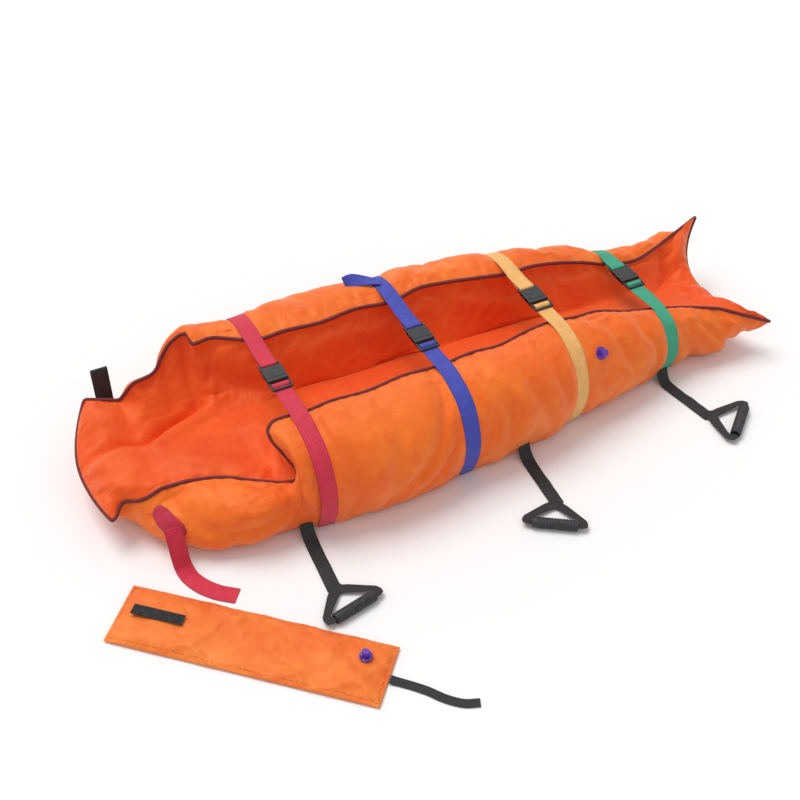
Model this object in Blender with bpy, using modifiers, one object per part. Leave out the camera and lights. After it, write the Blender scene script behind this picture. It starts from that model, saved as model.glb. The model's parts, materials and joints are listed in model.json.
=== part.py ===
"""Vacuum stretcher: a bead-filled mattress folded up by four straps, with handles and a splint.

Metres, +Z up, +X from the head to the foot, near side at -Y. The origin is the middle of the
mattress's underside. The mattress is one closed surface, split at its piped edge into a base panel
and an inner panel. Every piece that lies on it takes its place from that same surface.
"""
import math

import bmesh
import bpy
import numpy as np
from mathutils import Matrix, Vector
from mathutils.bvhtree import BVHTree

# Clearances and cloth
GAP = 0.0003                 # between pieces that touch
SHEET = 0.0006               # coated fabric of the mattress and of the splint
FILL_GAP = 0.0005            # bead fill to the inside of the fabric
PIPING_RADIUS = 0.0035
SEAM_INSET = PIPING_RADIUS + 5 * GAP     # each panel's edge, back from the seam line

# Straps over the mattress: where they lie along it, and where each buckle's mouth is across it
STRAPS = (
    ("red", -0.499, -0.020, (0.70, 0.04, 0.09)),
    ("blue", -0.072, -0.045, (0.05, 0.07, 0.42)),
    ("yellow", 0.303, -0.030, (0.80, 0.48, 0.20)),
    ("green", 0.662, 0.020, (0.04, 0.36, 0.22)),
)
WEB_WIDTH = 0.048
WEB_THICK = 0.0018
WEB_LIFT = 0.0004            # webbing off the fabric that it lies on
WEB_ROOT_SHARE = 0.5         # how far down the lowest curve of the wall the webbing is sewn
WEB_TAIL = 0.036             # free webbing back under a bar
WEB_RUN_IN = 0.020           # webbing that leads straight to a bar
WEB_CLIMB = 0.004            # where it has risen onto the bar
WEB_RETURN = 0.002           # where it lies flat again under the bar
WEB_CORNER = 0.0002          # webbing off a bar's edge and off its side
WEB_SIDE = 0.0010

# Mattress outline on one side: station x, widest y, crest y and z, piping y and z
NEAR_SIDE = (
    (-0.880, 0.252, 0.194, 0.128, 0.146, 0.152),
    (-0.800, 0.300, 0.206, 0.150, 0.152, 0.154),
    (-0.720, 0.322, 0.238, 0.162, 0.176, 0.150),
    (-0.640, 0.330, 0.272, 0.164, 0.238, 0.151),
    (-0.600, 0.334, 0.285, 0.168, 0.262, 0.156),
    (-0.575, 0.338, 0.266, 0.230, 0.226, 0.222),
    (-0.550, 0.344, 0.236, 0.283, 0.172, 0.273),
    (-0.499, 0.360, 0.226, 0.289, 0.161, 0.277),
    (-0.300, 0.375, 0.228, 0.290, 0.158, 0.277),
    (-0.072, 0.354, 0.220, 0.289, 0.153, 0.276),
    (0.100, 0.345, 0.208, 0.289, 0.150, 0.275),
    (0.303, 0.304, 0.182, 0.287, 0.122, 0.273),
    (0.450, 0.282, 0.172, 0.262, 0.118, 0.248),
    (0.560, 0.262, 0.166, 0.235, 0.122, 0.219),
    (0.662, 0.236, 0.160, 0.206, 0.122, 0.191),
    (0.760, 0.220, 0.172, 0.184, 0.144, 0.176),
    (0.860, 0.228, 0.206, 0.140, 0.180, 0.160),
)
FAR_SIDE = (
    (-0.880, 0.312, 0.284, 0.146, 0.250, 0.170),
    (-0.800, 0.328, 0.270, 0.190, 0.240, 0.186),
    (-0.740, 0.336, 0.276, 0.238, 0.252, 0.222),
    (-0.700, 0.342, 0.290, 0.278, 0.262, 0.264),
    (-0.655, 0.346, 0.284, 0.288, 0.246, 0.276),
    (-0.600, 0.350, 0.272, 0.289, 0.232, 0.277),
    (-0.550, 0.354, 0.252, 0.289, 0.204, 0.277),
    (-0.499, 0.360, 0.236, 0.289, 0.170, 0.277),
    (-0.300, 0.375, 0.232, 0.290, 0.160, 0.277),
    (-0.072, 0.354, 0.224, 0.289, 0.155, 0.276),
    (0.100, 0.345, 0.226, 0.289, 0.162, 0.275),
    (0.303, 0.304, 0.186, 0.287, 0.126, 0.273),
    (0.450, 0.282, 0.180, 0.264, 0.130, 0.250),
    (0.560, 0.262, 0.172, 0.240, 0.128, 0.224),
    (0.662, 0.236, 0.160, 0.206, 0.122, 0.191),
    (0.760, 0.218, 0.158, 0.190, 0.122, 0.175),
    (0.860, 0.226, 0.184, 0.170, 0.152, 0.184),
)
# Middle of the mattress: station x, sideways shift, height of the lying surface
MIDDLE = (
    (-0.880, 0.050, 0.112),
    (-0.720, 0.030, 0.122),
    (-0.550, 0.000, 0.130),
    (0.300, 0.000, 0.136),
    (0.662, 0.000, 0.112),
    (0.860, 0.000, 0.098),
)
FLOOR_TURN = 0.075           # flat bottom stops this far inside the widest line
WIDEST_SHARE = 0.45          # height of the widest line as a share of the crest's
NEAR_FOLD = ((-0.602, 0.020, 0.026), (-0.556, -0.008, 0.016))    # x, reach along x, half width
FAR_FOLD = ((-0.690, 0.016, 0.026), (-0.640, -0.008, 0.018))

# Where the sections stand between the straps
OPEN_STATIONS = (-0.800, -0.720, -0.655, -0.612, -0.585, -0.556, -0.390, -0.285, -0.180, 0.040,
                 0.130, 0.215, 0.400, 0.490, 0.575, 0.760)
HEAD_CAP = -0.880            # the head end closes from here
FOOT_CAP = 0.860
CAP_SHARES = (0.0, 0.14, 0.34, 0.64)     # steps of a closing end, from its hem inwards
CAP_DEPTH = 0.045            # half the thickness that a closing end keeps close to its hem

# Hems from the near corner over the middle to the far corner, each point's x counted from where
# its end starts to close, and how late they turn to a corner
HEAD_HEM = ((-0.088, -0.160, 0.104), (-0.165, 0.052, 0.092), (-0.072, 0.270, 0.152))
FOOT_HEM = ((0.112, -0.226, 0.130), (0.080, 0.000, 0.088), (0.140, 0.196, 0.180))
HEAD_BOW = 2.0
FOOT_BOW = 3.0
HEM_CROWD = 0.75             # how much its points crowd towards the corners

# The piping at each corner, from the hem inwards: what each closing row adds to a straight run
HEAD_CORNERS = (((0.000, -0.014, 0.002), (0.000, -0.012, 0.002), (0.000, -0.004, 0.000)),
                ((0.000, 0.014, 0.000), (0.000, 0.012, 0.000), (0.000, 0.004, 0.000)))
FOOT_CORNERS = (((0.002, -0.018, 0.000), (0.000, -0.016, 0.000), (0.000, -0.006, 0.000)),
                ((0.004, 0.014, 0.004), (0.000, 0.008, 0.002), (0.000, 0.000, 0.000)))

# Side-release buckle, along local +Y from its mouth into the socket
BUCKLE_WIDTH = 0.060
SOCKET_DEPTH = 0.046
SOCKET_HEIGHT = 0.0135
SOCKET_WALL = 0.0020
POCKET_DEPTH = 0.040
BAR = 0.006                  # the bars that webbing goes round
BAR_SLOT = 0.010
FRAME_RAIL = 0.005
FRAME_HEIGHT = 0.0050
PLUG_BLOCK = 0.013
PLUG_FRAME = 0.034
TONGUE_WIDTH = 0.013
TONGUE_LENGTH = 0.034
TONGUE_HEIGHT = 0.0050
ARM_PIVOT = 0.0170
ARM_HEIGHT = 0.0056
ARM_WINDOW = 0.0066
BUCKLE_EDGE = 0.0012

# Carry handles: name, root x, direction, turn of the loop in its plane, side, loop folded back
HANDLES = (
    ("near_head", -0.556, -3.0, 15.0, -1, False),
    ("near_middle", 0.112, -3.0, -30.0, -1, False),
    ("near_foot", 0.645, 11.0, 30.0, -1, False),
    ("far_head", -0.556, 0.0, 0.0, 1, True),
    ("far_middle", 0.112, 0.0, 0.0, 1, True),
    ("far_foot", 0.610, 0.0, 0.0, 1, True),
)
HANDLE_WIDTH = 0.038
HANDLE_THICK = 0.0030
HANDLE_ROOT_HEIGHT = 0.040
HANDLE_REACH = 0.196         # root to the loop's hinge, along the floor
HANDLE_BEND = 0.028          # where the strap takes its heading
HANDLE_DROP = 0.022          # from there to where it lies on the floor
HANDLE_LAP = 0.012           # strap under the loop's sewn end
GRIP_LENGTH = 0.124
GRIP_RADIUS = 0.0155
GRIP_PLAY = 0.0004           # loop's webbing to the bore of the grip
LOOP_DEPTH = 0.096           # hinge to the middle of the grip
LOOP_BAR = 0.019             # webbing inside the grip
LOOP_ARM = 0.021
GRIP_STEPS = 14

# Valves
VALVE_X = 0.385              # on the near wall
VALVE_CELL = 3.45            # how far down the wall from the piping, in rows of the section
VALVE_FLANGE = 0.019
VALVE_FLANGE_THICK = 0.0022
VALVE_STEM = 0.0075
VALVE_BORE = 0.0045
VALVE_HEIGHT = 0.020
VALVE_ROOT = 0.016
VALVE_HOLE = 0.0082
FILTER_DEPTH = 0.010
CAP_RADIUS = 0.0105
CAP_HEIGHT = 0.013
CAP_TOP = 0.003
TETHER_WIDTH = 0.004
TETHER_THICK = 0.0015

# Flat vacuum splint that lies in front of the head end
SPLINT_CENTRE = Vector((-0.823, -0.604, 0.0))
SPLINT_TURN = -41.6
SPLINT_LENGTH = 0.715
SPLINT_WIDTH = 0.176
SPLINT_EDGE = 0.006          # height of its seam
SPLINT_CROWN = 0.022
PATCH_SIZE = (0.138, 0.030, 0.0018)
PATCH_PLACE = (0.1095 - SPLINT_LENGTH / 2, 0.012)
SPLINT_VALVE_PLACE = (SPLINT_LENGTH / 2 - 0.0705, 0.034)
SPLINT_VALVE_SCALE = 0.9
SPLINT_STRAP_WIDTH = 0.025

# Loose webbing
HEAD_STRAP_ROOT = (HEAD_CAP - 0.012, 0.115)        # x and height on the near wall
HEAD_STRAP_ROUTE = ((0.000, -0.2980, 0.0060), (0.000, -0.3260, 0.0012), (0.009, -0.3700, 0.0012),
                    (0.038, -0.4180, 0.0012), (0.076, -0.4560, 0.0012))     # x from its root
SPLINT_STRAP_ROUTE = ((-0.5200, -0.8740, 0.0012), (-0.4900, -0.9060, 0.0012), (-0.4580, -0.9480, 0.0012),
                      (-0.4240, -0.9780, 0.0012), (-0.3900, -0.9920, 0.0012))
TAB_INSET = 0.028            # its middle, past where the head end starts to close
TAB_LOW = 0.098
TAB_SEWN = 0.036             # how much of it lies on the far wall
TAB_TOP = 0.236
TAB_BEND = 0.0050

HALF_STEPS = 8               # cells of the section from the piping to the middle
FLOOR_STEPS = 12

COLOURS = {
    "fabric": (0.82, 0.13, 0.02, 0.62, 0.0),
    "inner_fabric": (0.80, 0.12, 0.02, 0.62, 0.0),
    "beads": (0.86, 0.86, 0.84, 0.90, 0.0),
    "piping": (0.05, 0.01, 0.01, 0.55, 0.0),
    "black_web": (0.02, 0.02, 0.024, 0.80, 0.0),
    "buckle": (0.018, 0.018, 0.020, 0.40, 0.0),
    "grip": (0.022, 0.022, 0.026, 0.60, 0.0),
    "valve": (0.11, 0.03, 0.34, 0.42, 0.0),
    "filter": (0.70, 0.70, 0.66, 0.90, 0.0),
    "hook": (0.016, 0.015, 0.015, 0.92, 0.0),
}


def clear_scene():
    """Take away what the file holds."""
    for old in list(bpy.data.objects):
        bpy.data.objects.remove(old, do_unlink=True)


def collection(name):
    """A collection of this name under the scene."""
    group = bpy.data.collections.new(name)
    bpy.context.scene.collection.children.link(group)
    return group


clear_scene()
PARTS = collection("vacuum_stretcher")
CUTTERS = collection("cutters")


def material(name, red, green, blue, roughness, metallic):
    """A Principled material in one colour."""
    mat = bpy.data.materials.new(name)
    mat.use_nodes = True
    shader = mat.node_tree.nodes["Principled BSDF"]
    shader.inputs["Base Color"].default_value = (red, green, blue, 1.0)
    shader.inputs["Roughness"].default_value = roughness
    shader.inputs["Metallic"].default_value = metallic
    return mat


MATERIALS = {name: material(name, *values) for name, values in COLOURS.items()}
for strap_name, _, _, strap_colour in STRAPS:
    MATERIALS[strap_name + "_web"] = material(strap_name + "_web", *strap_colour, 0.75, 0.0)


def empty(name, place, parent=None):
    """An empty that holds a body's joint."""
    holder = bpy.data.objects.new(name, None)
    holder.empty_display_size = 0.02
    holder.location = place
    holder.parent = parent
    PARTS.objects.link(holder)
    return holder


def add_object(name, mesh, mat, smooth=None):
    """Put a mesh in the object's collection under its node name."""
    mesh.materials.clear()
    mesh.materials.append(MATERIALS[mat])
    obj = bpy.data.objects.new(name, mesh)
    PARTS.objects.link(obj)
    if smooth is not None:
        mesh.shade_smooth()
        mesh.set_sharp_from_angle(angle=math.radians(smooth))
    return obj


def mesh_from(name, verts, faces):
    """A mesh from points and faces."""
    mesh = bpy.data.meshes.new(name)
    mesh.from_pydata([tuple(v) for v in verts], [], [tuple(f) for f in faces])
    mesh.validate()
    return mesh


def hang(obj, holder):
    """Parent a piece to its joint's empty and keep its place."""
    obj.parent = holder
    obj.matrix_parent_inverse = Matrix.Translation(holder_place(holder)).inverted()


def holder_place(holder):
    """World place of an empty that is only moved, never turned."""
    place = Vector(holder.location)
    while holder.parent:
        holder = holder.parent
        place += Vector(holder.location)
    return place


# The mattress surface

def smooth_table(table, x):
    """Read a table at x with a smooth curve through its rows."""
    rows = np.array(table, float)
    xs = rows[:, 0]
    x = float(np.clip(x, xs[0], xs[-1]))
    k = int(np.clip(np.searchsorted(xs, x) - 1, 0, len(xs) - 2))
    before, after = max(k - 1, 0), min(k + 2, len(xs) - 1)
    span = xs[k + 1] - xs[k]
    t = (x - xs[k]) / span
    slope_a = (rows[k + 1, 1:] - rows[before, 1:]) / (xs[k + 1] - xs[before]) * span
    slope_b = (rows[after, 1:] - rows[k, 1:]) / (xs[after] - xs[k]) * span
    a, b = rows[k, 1:], rows[k + 1, 1:]
    return (a * (2 * t ** 3 - 3 * t ** 2 + 1) + slope_a * (t ** 3 - 2 * t ** 2 + t)
            + b * (3 * t ** 2 - 2 * t ** 3) + slope_b * (t ** 3 - t ** 2))


def bezier(points, t):
    """A point of a cubic curve."""
    a, b, c, d = (np.array(p, float) for p in points)
    u = 1 - t
    return a * u ** 3 + 3 * b * u * u * t + 3 * c * u * t * t + d * t ** 3


ROUND = 0.5523               # handle length of a quarter circle as a cubic


def outer_half(x, side):
    """Piping to bottom middle, outside: nine points as (distance from the centre line, height)."""
    wide, crest_y, crest_z, seam_y, seam_z = smooth_table(NEAR_SIDE if side < 0 else FAR_SIDE, x)
    shift = smooth_table(MIDDLE, x)[0] * side
    widest_z = crest_z * WIDEST_SHARE
    flat = wide - FLOOR_TURN
    rim = ((seam_y, seam_z), (seam_y + 0.35 * (crest_y - seam_y), crest_z - 0.15 * (crest_z - seam_z)),
           (crest_y - 0.35 * (crest_y - seam_y), crest_z), (crest_y, crest_z))
    top = ((crest_y, crest_z), (crest_y + ROUND * (wide - crest_y), crest_z),
           (wide, widest_z + ROUND * (crest_z - widest_z)), (wide, widest_z))
    low = ((wide, widest_z), (wide, widest_z * (1 - ROUND)),
           (flat + ROUND * (wide - flat), 0), (flat, 0))
    return [bezier(rim, 0), bezier(rim, 0.5), bezier(top, 0), bezier(top, 0.36), bezier(top, 0.68),
            bezier(low, 0), bezier(low, 0.55), bezier(low, 1), np.array((shift, 0.0))]


def inner_half(x, side):
    """Piping to the middle of the lying surface, inside."""
    seam_y, seam_z = smooth_table(NEAR_SIDE if side < 0 else FAR_SIDE, x)[3:5]
    shift, floor_z = smooth_table(MIDDLE, x)
    drop = seam_z - floor_z
    wall = ((seam_y, seam_z), (seam_y * 0.86, seam_z - 0.62 * drop - 0.004),
            (seam_y * 0.66, floor_z), (shift * side, floor_z))
    return [bezier(wall, k / HALF_STEPS) for k in range(HALF_STEPS + 1)]


def fold_reach(x, side):
    """How far the piping leans along x where the roll's end folds back on itself."""
    return sum(reach * math.exp(-((x - middle) / width) ** 2)
               for middle, reach, width in (NEAR_FOLD if side < 0 else FAR_FOLD))


def section(x, half):
    """A full section at x, near piping to far piping, as points in space."""
    points = []
    near, far = half(x, -1), half(x, 1)
    for k in range(HALF_STEPS + 1):
        lean = fold_reach(x, -1) * (1 - k / HALF_STEPS) ** 2
        points.append((x + lean, -near[k][0], near[k][1]))
    for k in range(HALF_STEPS - 1, -1, -1):
        lean = fold_reach(x, 1) * (1 - k / HALF_STEPS) ** 2
        points.append((x + lean, far[k][0], far[k][1]))
    return np.array(points)


def hem_curve(hem, bow, cap):
    """A hem as points from its near corner to its far corner."""
    near, middle, far = (np.array(p) + (cap, 0.0, 0.0) for p in hem)
    points = []
    for j in range(2 * HALF_STEPS + 1):
        even = j / HALF_STEPS - 1
        s = even + HEM_CROWD * (math.sin(math.pi / 2 * even) - even)
        corner = near if s < 0 else far
        share = np.array((abs(s) ** bow, abs(s), s * s))
        points.append(middle + (corner - middle) * share)
    return np.array(points)


def closing_end(hem, x, step, corners):
    """An outside and an inside row of an end that rounds off to its hem."""
    share = CAP_SHARES[step]
    full = math.sqrt(1 - (1 - share) ** 2)
    outer, inner = section(x, outer_half), section(x, inner_half)
    reach = (inner - outer) / 2
    length = np.linalg.norm(reach, axis=1)[:, None]
    way = reach / np.maximum(length, 0.000001) * share + np.array((0.0, 0.0, 1.0 - share))
    way /= np.linalg.norm(way, axis=1)[:, None]
    size = length * share + np.minimum(length, CAP_DEPTH) * (1 - share)
    middle = hem + ((outer + inner) / 2 - hem) * share
    if step:
        across = np.linspace(-1, 1, len(hem))
        for corner, side in zip(corners, (-1, 1)):
            middle += np.outer(np.clip(side * across, 0, 1) ** 3, corner[step - 1])
    return middle - way * size * full, middle + way * size * full


def station_list():
    """Section stations along x: open ones and the two edges of each strap."""
    half = WEB_WIDTH / 2
    stations = [HEAD_CAP, FOOT_CAP]
    for _, x, _, _ in STRAPS:
        stations += [x - half, x + half]
    for x in OPEN_STATIONS:
        if all(abs(x - strap[1]) > 1.5 * half for strap in STRAPS):
            stations.append(x)
    return sorted(stations)


STATIONS = station_list()


def surfaces():
    """The rows of both faces of the mattress, head hem to foot hem."""
    head, foot = hem_curve(HEAD_HEM, HEAD_BOW, HEAD_CAP), hem_curve(FOOT_HEM, FOOT_BOW, FOOT_CAP)
    steps = range(len(CAP_SHARES))
    rows = [closing_end(head, HEAD_CAP, step, HEAD_CORNERS) for step in steps]
    rows += [(section(x, outer_half), section(x, inner_half)) for x in STATIONS]
    rows += [closing_end(foot, FOOT_CAP, step, FOOT_CORNERS) for step in reversed(steps)]
    return np.array([row[0] for row in rows]), np.array([row[1] for row in rows])


def row_of(x):
    """Index of the row that stands at x."""
    return len(CAP_SHARES) + min(range(len(STATIONS)), key=lambda k: abs(STATIONS[k] - x))


def grid_faces(rows, columns, start=0, flip=False):
    """Triangles of a grid. Two corner cells split the other way, so none lies on the border alone."""
    faces = []
    corners = ((0, columns - 2), (rows - 2, 0))
    for i in range(rows - 1):
        for j in range(columns - 1):
            a = start + i * columns + j
            b, c, d = a + columns, a + columns + 1, a + 1
            pair = [(a, b, d), (b, c, d)] if (i, j) in corners else [(a, b, c), (a, c, d)]
            faces += [face[::-1] for face in pair] if flip else pair
    return faces


def closed_pair(under, over):
    """Points and faces of two grids that share their border, facing outward."""
    rows, columns = under.shape[:2]
    verts = [tuple(p) for p in under.reshape(-1, 3)]
    index = np.zeros((rows, columns), int)
    for i in range(rows):
        for j in range(columns):
            if i in (0, rows - 1) or j in (0, columns - 1):
                index[i, j] = i * columns + j
            else:
                index[i, j] = len(verts)
                verts.append(tuple(over[i, j]))
    flat = index.reshape(-1)
    faces = grid_faces(rows, columns, flip=True)
    faces += [tuple(int(flat[k]) for k in face) for face in grid_faces(rows, columns)]
    return np.array(verts), faces, index


def point_normals(verts, faces):
    """Normals at the points, weighted by the area of the faces round them."""
    normals = np.zeros_like(verts)
    for a, b, c in faces:
        area = np.cross(verts[b] - verts[a], verts[c] - verts[a])
        for k in (a, b, c):
            normals[k] += area
    return normals / np.linalg.norm(normals, axis=1)[:, None]


def border_ring(rows, columns):
    """Rows and columns of a grid's border, all the way round."""
    ring = [(i, 0) for i in range(rows)]
    ring += [(rows - 1, j) for j in range(1, columns)]
    ring += [(i, columns - 1) for i in range(rows - 2, -1, -1)]
    return ring + [(0, j) for j in range(columns - 2, 0, -1)]


def inset_border(grid):
    """Move a grid's border inwards, square to the piping, so that it stays clear of it."""
    moved = grid.copy()
    rows, columns = grid.shape[:2]
    ring = border_ring(rows, columns)
    for k, (i, j) in enumerate(ring):
        here = grid[i, j]
        before, after = here - grid[ring[k - 1]], grid[ring[(k + 1) % len(ring)]] - here
        before, after = before / np.linalg.norm(before), after / np.linalg.norm(after)
        along = (before + after) / np.linalg.norm(before + after)
        way = grid[min(max(i, 1), rows - 2), min(max(j, 1), columns - 2)] - here
        way -= along * np.dot(way, along)
        length = np.linalg.norm(way)
        sine = max(np.linalg.norm(np.cross(way / length, before)), 0.4)
        moved[i, j] = here + way / length * min(SEAM_INSET / sine, length * 0.7)
    return moved


def sheet_mesh(name, grid, normals, flip):
    """A panel of fabric: a grid, its copy one thickness inside and the border between them."""
    rows, columns = grid.shape[:2]
    outer = inset_border(grid)
    inner = outer - normals * SHEET
    count = rows * columns
    faces = grid_faces(rows, columns, flip=flip) + grid_faces(rows, columns, start=count, flip=not flip)
    ring = [i * columns + j for i, j in border_ring(rows, columns)]
    for a, b in zip(ring, ring[1:] + ring[:1]):
        pair = [(a, b, b + count), (a, b + count, a + count)]
        faces += pair if flip else [face[::-1] for face in pair]
    verts = np.concatenate([outer.reshape(-1, 3), inner.reshape(-1, 3)])
    return mesh_from(name, verts, faces)


OUTSIDE, INSIDE = surfaces()
ROWS, COLUMNS = OUTSIDE.shape[:2]


def grid_normals(grid, flip):
    """Outward normals at a grid's points."""
    flat = grid.reshape(-1, 3)
    return point_normals(flat, grid_faces(ROWS, COLUMNS, flip=flip)).reshape(grid.shape)


OUTER_NORMALS = grid_normals(OUTSIDE, True)
INNER_NORMALS = grid_normals(INSIDE, False)


def curve_mesh(name, points, radius, resolution, cyclic=False):
    """A round tube through points, as a welded mesh."""
    data = bpy.data.curves.new(name, "CURVE")
    data.dimensions = "3D"
    data.bevel_depth = radius
    data.bevel_resolution = resolution
    data.use_fill_caps = not cyclic
    spline = data.splines.new("POLY")
    spline.points.add(len(points) - 1)
    for point, place in zip(spline.points, points):
        point.co = (*place, 1.0)
    spline.use_cyclic_u = cyclic
    holder = bpy.data.objects.new(name + "_curve", data)
    bpy.context.scene.collection.objects.link(holder)
    mesh = evaluated_mesh(holder, name)
    bpy.data.objects.remove(holder, do_unlink=True)
    return mesh


def flat_mesh(name, outlines, thickness):
    """A flat piece of even thickness, centred on z = 0, from closed outlines."""
    data = bpy.data.curves.new(name, "CURVE")
    data.dimensions = "2D"
    data.fill_mode = "BOTH"
    data.extrude = thickness / 2
    for outline in outlines:
        spline = data.splines.new("POLY")
        spline.points.add(len(outline) - 1)
        for point, (x, y) in zip(spline.points, outline):
            point.co = (x, y, 0.0, 1.0)
        spline.use_cyclic_u = True
    holder = bpy.data.objects.new(name + "_outline", data)
    bpy.context.scene.collection.objects.link(holder)
    mesh = evaluated_mesh(holder, name)
    bpy.data.objects.remove(holder, do_unlink=True)
    return mesh


def evaluated_mesh(obj, name):
    """The mesh of an object with its modifiers, welded, its faces outward."""
    bpy.context.view_layer.update()
    graph = bpy.context.evaluated_depsgraph_get()
    mesh = bpy.data.meshes.new_from_object(obj.evaluated_get(graph), depsgraph=graph)
    mesh.name = name
    work = bmesh.new()
    work.from_mesh(mesh)
    bmesh.ops.remove_doubles(work, verts=work.verts, dist=0.000005)
    bmesh.ops.recalc_face_normals(work, faces=work.faces)
    work.to_mesh(mesh)
    work.free()
    return mesh


def box(name, low, high, group):
    """A box between two corners."""
    mesh = bpy.data.meshes.new(name)
    work = bmesh.new()
    bmesh.ops.create_cube(work, size=1.0)
    size = [high[k] - low[k] for k in range(3)]
    middle = [(high[k] + low[k]) / 2 for k in range(3)]
    bmesh.ops.scale(work, vec=size, verts=work.verts)
    bmesh.ops.translate(work, vec=middle, verts=work.verts)
    work.to_mesh(mesh)
    work.free()
    obj = bpy.data.objects.new(name, mesh)
    group.objects.link(obj)
    return obj


def cutter_look(obj):
    """Show a cutter as a guide."""
    obj.hide_render = True
    obj.display_type = "WIRE"


def boolean(obj, other, operation):
    """Cut or join another shape."""
    mod = obj.modifiers.new(operation.lower(), "BOOLEAN")
    mod.operation = operation
    mod.solver = "EXACT"
    mod.object = other
    cutter_look(other)


def bevel(obj, width, segments=1, angle=40):
    """Round the sharp edges."""
    mod = obj.modifiers.new("edges", "BEVEL")
    mod.width = width
    mod.segments = segments
    mod.limit_method = "ANGLE"
    mod.angle_limit = math.radians(angle)
    mod.use_clamp_overlap = True


def made(name, base, shapes, edge=None):
    """A mesh from one box, bevelled and then joined with and cut by others."""
    if edge:
        bevel(base, edge, 2)
    for shape, operation in shapes:
        boolean(base, shape, operation)
    mesh = evaluated_mesh(base, name)
    for old in [base] + [shape for shape, _ in shapes]:
        bpy.data.objects.remove(old, do_unlink=True)
    return mesh


def lathe_mesh(name, profile, steps):
    """A turned piece about z from a closed profile of (radius, height), outer side first."""
    mesh = bpy.data.meshes.new(name + "_profile")
    verts = [(r, 0.0, z) for r, z in profile]
    edges = [(k, k + 1) for k in range(len(profile) - 1)]
    if profile[0][0] > 0 and profile[-1][0] > 0:
        edges.append((len(profile) - 1, 0))
    mesh.from_pydata(verts, edges, [])
    holder = bpy.data.objects.new(name + "_turned", mesh)
    bpy.context.scene.collection.objects.link(holder)
    mod = holder.modifiers.new("turn", "SCREW")
    mod.steps = steps
    mod.render_steps = steps
    mod.use_merge_vertices = True
    mod.merge_threshold = 0.00001
    mod.use_smooth_shade = True
    done = evaluated_mesh(holder, name)
    bpy.data.objects.remove(holder, do_unlink=True)
    return done


def ribbon_mesh(name, left, right, normals, thick):
    """Webbing: two edges on the underside, a thickness along the normals, closed ends."""
    verts, faces = [], []
    for a, b, n in zip(left, right, normals):
        n_left, n_right = n if isinstance(n, tuple) else (n, n)
        verts += [a, b, np.array(b) + np.array(n_right) * thick, np.array(a) + np.array(n_left) * thick]
    last = 4 * (len(left) - 1)
    for k in range(len(left) - 1):
        p = 4 * k
        faces += [(p, p + 1, p + 5), (p, p + 5, p + 4), (p + 3, p + 6, p + 2), (p + 3, p + 7, p + 6)]
        faces += [(p + 1, p + 2, p + 6), (p + 1, p + 6, p + 5), (p, p + 7, p + 3), (p, p + 4, p + 7)]
    faces += [(0, 2, 1), (0, 3, 2), (last, last + 1, last + 2), (last, last + 2, last + 3)]
    mesh = mesh_from(name, verts, faces)
    work = bmesh.new()
    work.from_mesh(mesh)
    bmesh.ops.recalc_face_normals(work, faces=work.faces)
    work.to_mesh(mesh)
    work.free()
    return mesh


def path_ribbon(name, points, width, thick, across=None):
    """Webbing along a centre path of its underside, its width level unless told otherwise."""
    pts = [np.array(p, float) for p in points]
    ways = [pts[min(k + 1, len(pts) - 1)] - pts[max(k - 1, 0)] for k in range(len(pts))]
    ways = [way / np.linalg.norm(way) for way in ways]
    left, right, normals = [], [], []
    for k, (here, way) in enumerate(zip(pts, ways)):
        level = next((w for w in ways[k:] if abs(w[2]) < 0.97), way)
        side = np.cross(level, (0, 0, 1.0)) if across is None else np.array(across, float)
        side /= np.linalg.norm(side)
        normal = np.cross(side, way)
        left.append(here - side * width / 2)
        right.append(here + side * width / 2)
        normals.append(normal / np.linalg.norm(normal))
    return ribbon_mesh(name, left, right, normals, thick)


def make_mattress():
    """Base panel, inner panel, bead fill and piping."""
    base = sheet_mesh("base_panel", OUTSIDE, OUTER_NORMALS, True)
    inner = sheet_mesh("inner_panel", INSIDE, INNER_NORMALS, False)
    deep = SHEET + FILL_GAP
    under = (OUTSIDE - OUTER_NORMALS * deep)[3:-3, 2:-2]
    over = (INSIDE - INNER_NORMALS * deep)[3:-3, 2:-2]
    middle = (under + over) / 2
    for edge, step in ((0, 1), (-1, -1)):
        deep_point = middle[:, edge + 3 * step]
        middle[:, edge] = (middle[:, edge] + deep_point) / 2
        middle[:, edge + step] = (2 * middle[:, edge] + deep_point) / 3
        middle[:, edge + 2 * step] = (middle[:, edge] + 2 * deep_point) / 3
    inner_cells = under[1:-1, 1:-1].copy()
    under[:], under[1:-1, 1:-1] = middle, inner_cells
    fill = mesh_from("bead_fill", *closed_pair(under, over)[:2])
    pieces = [add_object("base_panel", base, "fabric", 60), add_object("inner_panel", inner, "inner_fabric", 60),
              add_object("bead_fill", fill, "beads", 60)]
    seam = [OUTSIDE[place] for place in border_ring(ROWS, COLUMNS)]
    piping = curve_mesh("edge_piping", seam, PIPING_RADIUS, 1, cyclic=True)
    add_object("edge_piping", piping, "piping", 60)
    return pieces


def wall_point(x, cell, side=-1):
    """A point and an outward normal on the wall at x, counted in cells down from the piping."""
    k = row_of(x)
    if STATIONS[k - len(CAP_SHARES)] > x:
        k -= 1
    x_a, x_b = STATIONS[k - len(CAP_SHARES)], STATIONS[k + 1 - len(CAP_SHARES)]
    t, j, s = (x - x_a) / (x_b - x_a), int(cell), cell - int(cell)
    cols = (j, j + 1) if side < 0 else (COLUMNS - 1 - j, COLUMNS - 2 - j)
    point, normal = np.zeros(3), np.zeros(3)
    for i, u in ((k, 1 - t), (k + 1, t)):
        for col, v in zip(cols, (1 - s, s)):
            point += OUTSIDE[i, col] * u * v
            normal += OUTER_NORMALS[i, col] * u * v
    return point, normal / np.linalg.norm(normal)


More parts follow.
